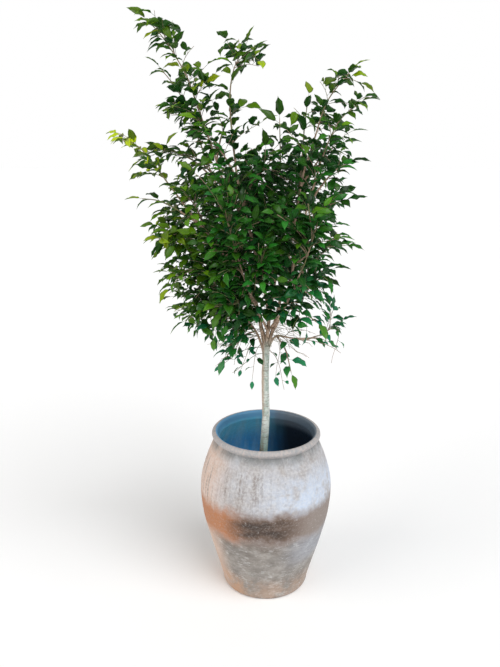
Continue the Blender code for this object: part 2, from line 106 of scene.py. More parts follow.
BOUGHS = {
    "tall_left": Bough(
        "trunk", 0.98,
        [(-0.030, 0.015, 1.03), (-0.075, 0.040, 1.20), (-0.120, 0.050, 1.38), (-0.170, 0.050, 1.54),
         (-0.222, 0.040, 1.69), (-0.262, 0.030, 1.80), (-0.325, 0.010, 1.90), (-0.372, 0.000, 1.950)],
        0.0064, 0.62,
        [(0.16, (-0.130, 0.110, 1.190)), (0.28, (-0.215, 0.100, 1.390)), (0.38, (-0.040, 0.120, 1.480)),
         (0.48, (-0.270, 0.000, 1.560)), (0.58, (-0.120, 0.110, 1.680))],
    ),
    "back_left": Bough(
        "tall_left", 0.24,
        [(-0.135, 0.120, 1.36), (-0.195, 0.155, 1.50), (-0.240, 0.165, 1.62), (-0.295, 0.165, 1.75),
         (-0.355, 0.150, 1.83)],
        0.0050, 0.55,
        [(0.34, (-0.250, 0.240, 1.420)), (0.46, (-0.335, 0.090, 1.570))],
    ),
    "centre": Bough(
        "trunk", 0.99,
        [(0.004, -0.030, 1.04), (-0.028, -0.045, 1.20), (-0.068, -0.045, 1.35), (-0.098, -0.035, 1.48),
         (-0.113, -0.020, 1.60), (-0.121, -0.010, 1.72), (-0.108, 0.000, 1.81), (-0.070, 0.000, 1.88)],
        0.0068, 0.62,
        [(0.16, (0.020, -0.150, 1.140)), (0.24, (-0.110, -0.170, 1.270)), (0.34, (0.050, -0.130, 1.360)),
         (0.42, (-0.160, -0.160, 1.450)), (0.50, (0.010, -0.090, 1.540)), (0.58, (-0.190, -0.090, 1.600))],
    ),
    "middle": Bough(
        "trunk", 0.97,
        [(0.012, 0.040, 1.04), (0.036, 0.080, 1.20), (0.048, 0.095, 1.38), (0.044, 0.100, 1.55),
         (0.040, 0.100, 1.67)],
        0.0056, 0.60,
        [(0.36, (-0.050, 0.190, 1.350)), (0.52, (0.130, 0.170, 1.450))],
    ),
    "tall_right": Bough(
        "trunk", 0.96,
        [(0.036, 0.010, 1.03), (0.066, 0.020, 1.18), (0.090, 0.020, 1.33), (0.112, 0.010, 1.48),
         (0.149, 0.000, 1.607), (0.180, 0.000, 1.705), (0.218, 0.000, 1.762), (0.262, 0.000, 1.812)],
        0.0062, 0.62,
        [(0.20, (0.140, 0.060, 1.130)), (0.32, (0.220, 0.080, 1.320)), (0.42, (0.030, -0.020, 1.400)),
         (0.52, (0.135, 0.105, 1.740)), (0.59, (0.245, 0.060, 1.590))],
    ),
    "right_front": Bough(
        "tall_right", 0.08,
        [(0.045, -0.060, 1.04), (0.066, -0.092, 1.13), (0.082, -0.100, 1.22), (0.105, -0.100, 1.33),
         (0.140, -0.100, 1.46), (0.165, -0.100, 1.55), (0.210, -0.100, 1.650), (0.272, -0.100, 1.705)],
        0.0056, 0.60,
        [(0.22, (0.175, -0.120, 1.170)), (0.34, (0.240, -0.130, 1.280)), (0.48, (0.235, -0.120, 1.420)),
         (0.58, (0.250, -0.060, 1.530))],
    ),
    "left": Bough(
        "trunk", 0.95,
        [(-0.034, -0.030, 1.04), (-0.090, -0.050, 1.18), (-0.170, -0.060, 1.28), (-0.245, -0.060, 1.37),
         (-0.317, -0.050, 1.465), (-0.385, -0.040, 1.555), (-0.425, -0.030, 1.588), (-0.460, -0.020, 1.597)],
        0.0058, 0.60,
        [(0.22, (-0.110, -0.120, 1.070)), (0.32, (-0.190, -0.150, 1.190)), (0.44, (-0.335, -0.100, 1.305)),
         (0.52, (-0.260, -0.130, 1.440)), (0.58, (-0.400, -0.060, 1.420))],
    ),
    "left_low": Bough(
        "trunk", 0.92,
        [(-0.036, -0.010, 0.965), (-0.095, -0.020, 1.04), (-0.165, -0.030, 1.10), (-0.245, -0.040, 1.15),
         (-0.320, -0.050, 1.18)],
        0.0045, 0.52,
        [(0.24, (-0.140, -0.065, 0.890)), (0.36, (-0.230, 0.060, 1.050)), (0.48, (-0.270, -0.100, 1.030))],
    ),
    "right_low": Bough(
        "trunk", 0.94,
        [(0.028, 0.000, 0.945), (0.080, -0.010, 0.945), (0.130, -0.020, 0.940), (0.190, -0.030, 0.965),
         (0.250, -0.035, 1.010)],
        0.0042, 0.50,
        [(0.26, (0.080, -0.100, 0.850)), (0.44, (0.210, 0.040, 0.920))],
    ),
    "front_left": Bough(
        "centre", 0.07,
        [(-0.030, -0.110, 1.06), (-0.070, -0.180, 1.17), (-0.105, -0.230, 1.29), (-0.130, -0.260, 1.40)],
        0.0048, 0.52,
        [(0.36, (-0.140, -0.230, 1.090)), (0.48, (0.000, -0.280, 1.240))],
    ),
    "front_right": Bough(
        "centre", 0.06,
        [(0.040, -0.110, 1.05), (0.075, -0.190, 1.15), (0.110, -0.250, 1.26), (0.135, -0.285, 1.36)],
        0.0046, 0.52,
        [(0.34, (0.150, -0.200, 1.050)), (0.48, (0.190, -0.210, 1.220))],
    ),
    "back_middle": Bough(
        "middle", 0.08,
        [(0.030, 0.120, 1.10), (0.060, 0.195, 1.25), (0.090, 0.250, 1.40), (0.110, 0.280, 1.52)],
        0.0048, 0.55,
        [(0.32, (-0.020, 0.260, 1.170)), (0.50, (0.010, 0.290, 1.400))],
    ),
    "back_low_left": Bough(
        "middle", 0.03,
        [(-0.040, 0.090, 1.03), (-0.100, 0.170, 1.12), (-0.155, 0.240, 1.21), (-0.200, 0.285, 1.28)],
        0.0046, 0.52,
        [(0.40, (-0.190, 0.150, 1.070))],
    ),
    "back_right": Bough(
        "tall_right", 0.06,
        [(0.075, 0.080, 1.05), (0.130, 0.145, 1.15), (0.175, 0.195, 1.27), (0.205, 0.230, 1.38)],
        0.0046, 0.52,
        [(0.34, (0.190, 0.120, 1.060)), (0.48, (0.255, 0.150, 1.240))],
    ),
}


# The thin shoots that hang out under the crown: the bough that carries each, and its tip.
HANGING_TIPS = [
    ("left_low", (-0.150, -0.050, 0.862)),
    ("left_low", (-0.118, -0.070, 0.838)),
    ("left_low", (-0.085, -0.100, 0.870)),
    ("left_low", (-0.050, -0.085, 0.826)),
    ("right_low", (0.030, -0.075, 0.838)),
    ("right_low", (0.060, -0.060, 0.772)),
    ("right_low", (0.250, -0.060, 0.905)),
    ("right_low", (0.215, -0.090, 0.880)),
]


def tint(red: int, green: int, blue: int) -> Colour:
    """The linear colour of a display colour.

    Args:
        red, green, blue: the display colour's parts, from 0 to 255.

    Returns:
        The same colour in linear light, from 0 to 1.
    """
    parts = [part / 255 for part in (red, green, blue)]
    linear = [p / 12.92 if p <= 0.04045 else ((p + 0.055) / 1.055) ** 2.4 for p in parts]
    return linear[0], linear[1], linear[2]


def ramp(value: float, low: float, high: float) -> float:
    """How far a value is from low to high, from 0 to 1."""
    return min(1.0, max(0.0, (value - low) / (high - low)))


def place_piece(name: str, mesh: bpy.types.Mesh, finishes: Sequence[bpy.types.Material]) -> Any:
    """Makes a finished mesh a piece of the object.

    Args:
        name: the piece's name.
        mesh: its mesh, in the row frame.
        finishes: its materials, in the order that its faces number them.

    Returns:
        The new object, which rides on the model's one body.
    """
    mesh.name = name
    for finish in finishes:
        mesh.materials.append(finish)
    mesh.shade_smooth()
    piece = bpy.data.objects.new(name, mesh)
    bpy.context.scene.collection.objects.link(piece)
    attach(piece, "root")
    return piece


def finished(shaped: bmesh.types.BMesh, name: str) -> bpy.types.Mesh:
    """The mesh of a shape that is done with."""
    mesh = bpy.data.meshes.new(name)
    shaped.to_mesh(mesh)
    shaped.free()
    return mesh


def searchable(points: Sequence[Vector]) -> KDTree:
    """Points to be searched by place, each numbered by its order."""
    tree = KDTree(len(points))
    for k, point in enumerate(points):
        tree.insert(point, k)
    tree.balance()
    return tree


# Routes of stems

@dataclass
class Route:
    """The points that a stem's middle line follows."""

    points: list[Vector]

    @staticmethod
    def smooth(knots: Sequence[Sequence[float]], step: float) -> "Route":
        """A Catmull-Rom curve through some knots.

        Args:
            knots: the points that it passes through.
            step: about how far apart the route's points are.

        Returns:
            The route.
        """
        ends = [Vector(p) for p in knots]
        ends = [2 * ends[0] - ends[1], *ends, 2 * ends[-1] - ends[-2]]
        made = []
        for a, b, c, d in zip(ends, ends[1:], ends[2:], ends[3:]):
            pieces = max(1, round((c - b).length / step))
            made += [Route.between(a, b, c, d, k / pieces) for k in range(pieces)]
        return Route([*made, ends[-2]])

    @staticmethod
    def between(a: Vector, b: Vector, c: Vector, d: Vector, t: float) -> Vector:
        """The Catmull-Rom point between b and c, at a share t of the way."""
        return 0.5 * (
            2 * b + (c - a) * t + (2 * a - 5 * b + 4 * c - d) * t * t
            + (3 * b - a - 3 * c + d) * t ** 3
        )

    @staticmethod
    def arched(
        start: Vector, along: Vector, tip: Vector, step: float = LEAFY_STEP, sinking: float = 0.45
    ) -> "Route":
        """A side branch's route: it leaves along its bough, arches over and sinks a little at its tip.

        Args:
            start: where it leaves its bough.
            along: the bough's direction there.
            tip: where it ends.
            step: about how far apart its points are.
            sinking: how much it points down at its tip.

        Returns:
            The route.
        """
        reach = (tip - start).length
        ahead = (tip - start).normalized()
        leave = (0.55 * along + 0.85 * ahead).normalized()
        arrive = (ahead - sinking * RISE).normalized()
        handles = (start, start + 0.36 * reach * leave, tip - 0.34 * reach * arrive, tip)
        pieces = max(4, round(reach / step))
        made = []
        for k in range(pieces + 1):
            t = k / pieces
            weights = ((1 - t) ** 3, 3 * t * (1 - t) ** 2, 3 * t * t * (1 - t), t ** 3)
            made.append(sum((w * h for w, h in zip(weights, handles)), Vector()))
        return Route(made)

    def length(self) -> float:
        """The route's whole length."""
        return sum((b - a).length for a, b in zip(self.points, self.points[1:]))

    def at(self, distance: float) -> tuple[Vector, Vector]:
        """A point of the straight pieces.

        Args:
            distance: how far from the start.

        Returns:
            The point, and the direction there.
        """
        for a, b in zip(self.points, self.points[1:]):
            piece = (b - a).length
            if distance <= piece:
                return a.lerp(b, distance / piece), (b - a).normalized()
            distance -= piece
        return self.points[-1].copy(), (self.points[-1] - self.points[-2]).normalized()

    def rounded_at(self, distance: float) -> Vector:
        """The point of the smooth curve through the route's points that stands for a point of the route."""
        ends = [2 * self.points[0] - self.points[1], *self.points, 2 * self.points[-1] - self.points[-2]]
        for a, b, c, d in zip(ends, ends[1:], ends[2:], ends[3:]):
            piece = (c - b).length
            if distance <= piece:
                return Route.between(a, b, c, d, distance / piece)
            distance -= piece
        return self.points[-1].copy()

    def rounded(self, step: float) -> "Route":
        """The smooth curve through the route's points, with its own points about a step apart."""
        return Route.smooth(self.points, step)

    def split(self, distance: float) -> tuple["Route", "Route"]:
        """The route cut in two in the middle of a straight piece, just past a distance.

        Args:
            distance: how far from the start.

        Returns:
            The part before the cut and the part after it.
        """
        points, passed = self.points, 0.0
        for k, (a, b) in enumerate(zip(points, points[1:])):
            piece = (b - a).length
            if passed + piece / 2 >= distance or k == len(points) - 3:
                break
            passed += piece
        ahead = (b - a).normalized()
        seat = a.lerp(b, 0.5)
        before = Route([*points[: k + 1], seat - ahead * GAP / 2])
        return before, Route([seat + ahead * GAP / 2, *points[k + 1 :]])


def side_of(along: Vector, turn: float) -> Vector:
    """A direction square to a stem, turned about it by so many degrees from the level one."""
    level = along.cross(RISE)
    if level.length < 0.25:
        level = Vector((1, 0, 0)) - along.x * along
    return Matrix.Rotation(math.radians(turn), 3, along) @ level.normalized()


def outward_from_trunk(point: Vector) -> Vector:
    """The level direction away from the trunk's axis."""
    away = Vector((point.x, point.y, 0.0))
    return away.normalized() if away.length > 0.02 else Vector((0, -1, 0))


# Leaves

class Surface(Enum):
    """The parts of a leaf that have looks of their own, with the value that marks them."""

    TOP = 0.0
    UNDERSIDE = 0.5
    STALK = 1.0


@dataclass
class Leaf:
    """One leaf: where its stalk is rooted, which way it goes, its blade's shape and its tone."""

    root: Vector
    stalk: Vector
    heading: Vector
    normal: Vector
    length: float
    droop: float
    fold: float
    width_share: float = 0.45
    twist: float = 0.0
    sweep: float = 0.0
    wave: float = 0.1
    phase: float = 0.0
    shade: float = 0.5
    youth: float = 0.0
    warmth_and_painted_sheen: float = 0.5

    STALK_LENGTH = 0.013

    def rib(self, share: float) -> Vector:
        """The midrib's point at a share of the blade's length."""
        angle = max(self.droop * share, 1e-4)
        bend = self.length / self.droop
        start = self.root + self.stalk * self.STALK_LENGTH
        return start + self.heading * bend * math.sin(angle) - self.normal * bend * (1 - math.cos(angle))


@dataclass
class LeafHabit:
    """How a stem's leaves are set: the angles and sizes that their random draws keep within."""

    length: tuple[float, float] = (0.050, 0.066)
    fold: tuple[float, float] = (8, 18)
    droop: tuple[float, float] = (50, 88)
    tip_droop: tuple[float, float] = (20, 45)
    slope: tuple[float, float] = (0.0, 0.70)
    roll: float = 15
    facing: float = 0.2
    mix: tuple[float, float, float] = (0.65, 0.40, 0.50)

    def leaf(self, point: Vector, along: Vector, side: Vector, draw: random.Random, at_tip: bool) -> Leaf:
        """A leaf rooted at a stem's point, whose blade arches out and down.

        Args:
            point: where its stalk is rooted.
            along: the stem's direction there.
            side: the side of the stem that it leaves by.
            draw: the random draws.
            at_tip: whether it is the leaf that goes on along the stem.

        Returns:
            The leaf.
        """
        outward = outward_from_trunk(point)
        if at_tip:
            heading = (0.25 * side + along + 0.2 * outward - 0.1 * RISE).normalized()
            stalk = (2 * along + heading).normalized()
        else:
            slope = draw.uniform(*self.slope)
            sideways, ahead, out = self.mix
            heading = (sideways * side + ahead * along + out * outward + slope * RISE).normalized()
            stalk = (0.6 * side + 0.5 * along + 0.2 * RISE + 0.5 * heading).normalized()
        up = RISE + self.facing * outward + 0.01 * side
        normal = (up - up.dot(heading) * heading).normalized()
        roll = Matrix.Rotation(math.radians(draw.gauss(0, self.roll)), 3, heading)
        droop = draw.uniform(*(self.tip_droop if at_tip else self.droop))
        return Leaf(
            point, stalk, heading, roll @ normal,
            draw.uniform(*self.length), math.radians(droop), math.radians(draw.uniform(*self.fold)),
        )


@dataclass
class LeafPattern:
    """The leaf that is repeated: a closed blade with a drip tip, in a flat frame of shares, and its stalk."""

    outline: tuple[tuple[float, float], ...] = (
        (0.00, 0.00), (0.04, 0.29), (0.12, 0.64), (0.24, 0.90), (0.38, 1.00),
        (0.52, 0.94), (0.66, 0.72), (0.78, 0.41), (0.88, 0.15), (1.00, 0.00),
    )
    thickness: float = 0.0006
    bulge: float = 0.16
    stalk_radius: float = 0.0006
    mesh: Optional[bpy.types.Mesh] = None

    def build(self) -> None:
        """Makes the pattern's mesh once, and reads off how its corners are to be bent for a leaf."""
        shaped = bmesh.new()
        uvs = shaped.loops.layers.uv.new("blade")
        kinds = shaped.faces.layers.float.new("surface")
        rows = len(self.outline) - 1
        for kind, columns in ((Surface.TOP, 4), (Surface.UNDERSIDE, 2)):
            sheet = bmesh.ops.create_grid(shaped, x_segments=columns, y_segments=rows, size=1.0)["verts"]
            faces = {face for vert in sheet for face in vert.link_faces}
            for vert in sheet:
                row = round((vert.co.y + 1) / 2 * rows)
                across, inner = vert.co.x, 0 < row < rows and abs(vert.co.x) < 0.99
                lift = (1.0 if kind is Surface.TOP else -1.0) if inner else 0.0
                vert.co = (across, self.outline[row][0], lift)
            for face in faces:
                face[kinds] = kind.value
                for loop in face.loops:
                    loop[uvs].uv = (0.5 + loop.vert.co.x / 2, loop.vert.co.y)
            if kind is Surface.UNDERSIDE:
                bmesh.ops.reverse_faces(shaped, faces=list(faces))
        for end in (0.0, 1.0):
            row = [v for v in shaped.verts if v.co.y == end]
            bmesh.ops.pointmerge(shaped, verts=row, merge_co=(0.0, end, 0.0))
        bmesh.ops.remove_doubles(shaped, verts=shaped.verts, dist=1e-4)
        stalk = bmesh.ops.create_cone(
            shaped, cap_ends=True, segments=3, radius1=1.0, radius2=1.0, depth=2.0,
        )["verts"]
        for vert in stalk:
            vert.co = (vert.co.x, -2.0 if vert.co.z < 0 else -1.0, vert.co.y)
        for face in {face for vert in stalk for face in vert.link_faces}:
            face[kinds] = Surface.STALK.value
            for loop in face.loops:
                loop[uvs].uv = (0.5, 0.0)
        self.mesh = finished(shaped, "leaf_pattern")
        count = len(self.mesh.vertices)
        corners = np.empty(count * 3)
        self.mesh.vertices.foreach_get("co", corners)
        self.across, self.along, self.lift = corners.reshape(-1, 3).T
        self.on_stalk = self.along < -0.5
        marks = np.empty(len(self.mesh.polygons))
        self.mesh.attributes["surface"].data.foreach_get("value", marks)
        sides = np.empty(len(self.mesh.polygons), dtype=int)
        self.mesh.polygons.foreach_get("loop_total", sides)
        self.loop_marks = np.repeat(marks, sides)

    def bent(self, leaves: Sequence[Leaf]) -> np.ndarray:
        """Bends the pattern into each of some leaves.

        Args:
            leaves: the leaves.

        Returns:
            Their corners, leaf by leaf, each in the pattern's order.
        """
        def column(name: str) -> np.ndarray:
            return np.array([getattr(leaf, name) for leaf in leaves])[:, None]

        def vectors(name: str) -> np.ndarray:
            return np.array([getattr(leaf, name) for leaf in leaves], dtype=float)[:, None, :]

        share = np.clip(self.along, 0.0, 1.0)[None, :]
        stations, widths = zip(*self.outline)
        length, droop = column("length"), column("droop")
        half = 0.5 * column("width_share") * length * np.interp(share, stations, widths)
        angle = droop * share
        bend = length / droop
        heading, normal, stalk = vectors("heading"), vectors("normal"), vectors("stalk")
        level = np.cross(heading, normal)
        start = vectors("root") + stalk * Leaf.STALK_LENGTH
        middle = (
            start + heading * (bend * np.sin(angle))[..., None]
            - normal * (bend * (1 - np.cos(angle)))[..., None]
            + level * (column("sweep") * length * share ** 2)[..., None]
        )
        up = normal * np.cos(angle)[..., None] + heading * np.sin(angle)[..., None]
        turn = (column("twist") * share)[..., None]
        across = level * np.cos(turn) + up * np.sin(turn)
        rise = up * np.cos(turn) - level * np.sin(turn)
        out = np.abs(self.across)[None, :]
        lifted = half * out * np.tan(column("fold"))
        lifted = lifted + np.where(self.lift > 0, self.bulge * half * 4 * out * (1 - out), 0.0)
        ripple = np.sin(2 * math.pi * 2.3 * share + column("phase") + 1.7 * self.across[None, :])
        lifted = lifted + column("wave") * half * out * ripple + self.lift * self.thickness / 2
        blade = middle + across * (half * self.across[None, :])[..., None] + rise * lifted[..., None]
        reach = (self.along + 2.0)[None, :, None]
        ring_up = np.cross(stalk, level)
        stem = (
            vectors("root") + stalk * Leaf.STALK_LENGTH * reach
            + (level * self.across[None, :, None] + ring_up * self.lift[None, :, None]) * self.stalk_radius
        )
        return np.where(self.on_stalk[None, :, None], stem, blade)

    def repeated(self, leaves: Sequence[Leaf]) -> bpy.types.Mesh:
        """One mesh of many leaves.

        Args:
            leaves: the leaves.

        Returns:
            The mesh, with each leaf's tone painted on its corners.
        """
        gathered = bmesh.new()
        for _ in leaves:
            gathered.from_mesh(self.mesh)
        mesh = finished(gathered, "leaves")
        mesh.vertices.foreach_set("co", self.bent(leaves).ravel())
        mesh.attributes.remove(mesh.attributes["surface"])
        loops = len(self.loop_marks)
        tones = np.empty((len(leaves), loops, 4))
        for k, leaf in enumerate(leaves):
            tones[k] = (leaf.shade, leaf.youth, 0.0, leaf.warmth_and_painted_sheen)
        tones[:, :, 2] = self.loop_marks
        painted = mesh.attributes.new("leaf_tone", "FLOAT_COLOR", "CORNER")
        painted.data.foreach_set("color", tones.ravel())
        return mesh


@dataclass
class CrownShape:
    """The crown's outline, as it is seen from the front against the trunk's plane, and its depth."""

    eye: tuple[float, float, float] = (-0.058, -2.174, 1.567)
    outline: tuple[tuple[float, float], ...] = (
        (-0.02, 0.74), (-0.08, 0.80), (-0.17, 0.84), (-0.19, 0.91), (-0.26, 0.95), (-0.31, 0.99),
        (-0.36, 1.05), (-0.385, 1.12), (-0.38, 1.19), (-0.40, 1.26), (-0.43, 1.33), (-0.46, 1.39),
        (-0.49, 1.45), (-0.51, 1.49), (-0.47, 1.55), (-0.53, 1.58), (-0.53, 1.62), (-0.43, 1.64),
        (-0.36, 1.60), (-0.29, 1.54), (-0.30, 1.65), (-0.37, 1.69), (-0.33, 1.73), (-0.36, 1.77),
        (-0.39, 1.82), (-0.36, 1.86), (-0.40, 1.90), (-0.44, 1.95), (-0.40, 2.00), (-0.33, 1.98),
        (-0.28, 1.94), (-0.24, 1.88), (-0.21, 1.82), (-0.17, 1.77), (-0.155, 1.85), (-0.165, 1.91),
        (-0.12, 1.94), (-0.08, 1.94), (-0.01, 1.92), (0.02, 1.88), (-0.01, 1.82), (-0.06, 1.79),
        (-0.01, 1.76), (0.03, 1.73), (0.03, 1.67), (0.10, 1.69), (0.15, 1.74), (0.155, 1.79),
        (0.25, 1.84), (0.31, 1.84), (0.29, 1.80), (0.36, 1.75), (0.35, 1.70), (0.28, 1.68),
        (0.33, 1.64), (0.27, 1.60), (0.30, 1.56), (0.28, 1.47), (0.30, 1.42), (0.23, 1.37),
        (0.24, 1.32), (0.32, 1.27), (0.27, 1.22), (0.25, 1.17), (0.22, 1.12), (0.24, 1.06),
        (0.31, 1.02), (0.30, 0.95), (0.27, 0.90), (0.17, 0.91), (0.06, 0.87), (0.07, 0.82),
        (0.11, 0.77), (0.12, 0.73), (0.05, 0.74),
    )
    depth: tuple[tuple[float, float], ...] = (
        (0.70, 0.08), (0.88, 0.17), (1.00, 0.26), (1.20, 0.34), (1.40, 0.345), (1.55, 0.30),
        (1.70, 0.22), (1.85, 0.16), (2.00, 0.10),
    )
    # How full the crown is by height, and zones (x, z, reach, factor) that are thinner or fuller than that.
    fullness: tuple[tuple[float, float], ...] = (
        (0.74, 0.02), (0.92, 0.20), (0.99, 1.00), (1.42, 1.00), (1.52, 0.50), (1.62, 0.24),
        (1.75, 0.18), (2.00, 0.24),
    )
    zones: tuple[tuple[float, float, float, float], ...] = (
        (-0.36, 1.08, 0.22, 0.35), (-0.30, 1.42, 0.16, 0.25), (-0.44, 1.48, 0.16, 0.38),
        (-0.04, 1.68, 0.18, 0.52), (0.26, 1.70, 0.20, 0.75), (0.28, 1.34, 0.22, 0.25),
        (0.22, 0.97, 0.17, 0.05), (-0.28, 1.82, 0.20, 1.40), (-0.02, 1.89, 0.08, 1.70),
    )
    fork: tuple[float, float, float, float] = (0.012, 0.950, 0.085, 0.050)
    behind_fork: float = 0.14
    low: tuple[float, float, float] = (-0.54, -0.36, 0.74)
    high: tuple[float, float, float] = (0.37, 0.36, 2.00)

    def places(self, count: int, draw: random.Random) -> list[Vector]:
        """Places spread evenly through the crown.

        Args:
            count: how many are tried.
            draw: the random draws.

        Returns:
            Those that are inside the crown, fewer where it is thin.
        """
        tried = [Vector([draw.uniform(a, b) for a, b in zip(self.low, self.high)]) for _ in range(count)]
        return [
            place for place in tried
            if draw.random() < self.full_at(place) and self.holds(place + 0.03 * outward_from_trunk(place))
        ]

    def full_at(self, place: Vector) -> float:
        """The share of the places that bear leaves, by height and by zone."""
        share = float(np.interp(place.z, *zip(*self.fullness)))
        for x, z, reach, factor in self.zones:
            nearness = ramp(math.hypot(place.x - x, place.z - z), reach, 0.6 * reach)
            share *= 1 + (factor - 1) * nearness
        return share

    def holds(self, point: Vector) -> bool:
        """Whether a point is inside the crown's outline and depth."""
        nearness = -self.eye[1] / (point.y - self.eye[1])
        x = self.eye[0] + (point.x - self.eye[0]) * nearness
        z = self.eye[2] + (point.z - self.eye[2]) * nearness
        reach = float(np.interp(point.z, *zip(*self.depth))) * (1 - 2.2 * x * x)
        in_fork = math.hypot((x - self.fork[0]) / self.fork[2], (z - self.fork[1]) / self.fork[3]) < 1
        if abs(point.y) > reach or in_fork and point.y < self.behind_fork:
            return False
        inside = False
        for (x0, z0), (x1, z1) in zip(self.outline, self.outline[1:] + self.outline[:1]):
            if (z0 > z) != (z1 > z) and x < x0 + (z - z0) * (x1 - x0) / (z1 - z0):
                inside = not inside
        return inside


@dataclass
class Crown:
    """The leaves placed so far, kept a little apart from each other."""

    shape: CrownShape = field(default_factory=CrownShape)
    cell: float = 0.012
    apart: float = 0.0065
    probes: tuple[float, ...] = (0.3, 0.6, 0.9)
    taken: dict[tuple[int, int, int], list[Vector]] = field(default_factory=dict)

    def cells_round(self, point: Vector) -> list[tuple[int, int, int]]:
        """The cell of a point and its neighbours."""
        x, y, z = (math.floor(c / self.cell) for c in point)
        return [(x + i, y + j, z + k) for i in (-1, 0, 1) for j in (-1, 0, 1) for k in (-1, 0, 1)]

    def is_clear(self, leaf: Leaf) -> bool:
        """Whether a leaf's midrib keeps clear of the leaves that are placed."""
        return not any(self.is_near(leaf.rib(share), self.apart) for share in self.probes)

    def is_near(self, point: Vector, distance: float) -> bool:
        """Whether a leaf that is placed is nearer to a point than a distance of a cell at most."""
        return any(
            (other - point).length < distance
            for cell in self.cells_round(point) for other in self.taken.get(cell, ())
        )

    def add(self, leaf: Leaf) -> None:
        """Remembers a leaf."""
        for share in self.probes:
            point = leaf.rib(share)
            cell = tuple(math.floor(c / self.cell) for c in point)
            self.taken.setdefault(cell, []).append(point)


@dataclass
class Stem:
    """A stem's route with its thickness at both ends."""

    route: Route
    first: float
    last: float


@dataclass
class BoughFoliage:
    """All that grows on one bough: the leafy branches' nodes, and the stems and leaves for them."""

    name: str
    nodes: list[str] = field(default_factory=list)
    twigs: list[Stem] = field(default_factory=list)
    leaves: list[Leaf] = field(default_factory=list)


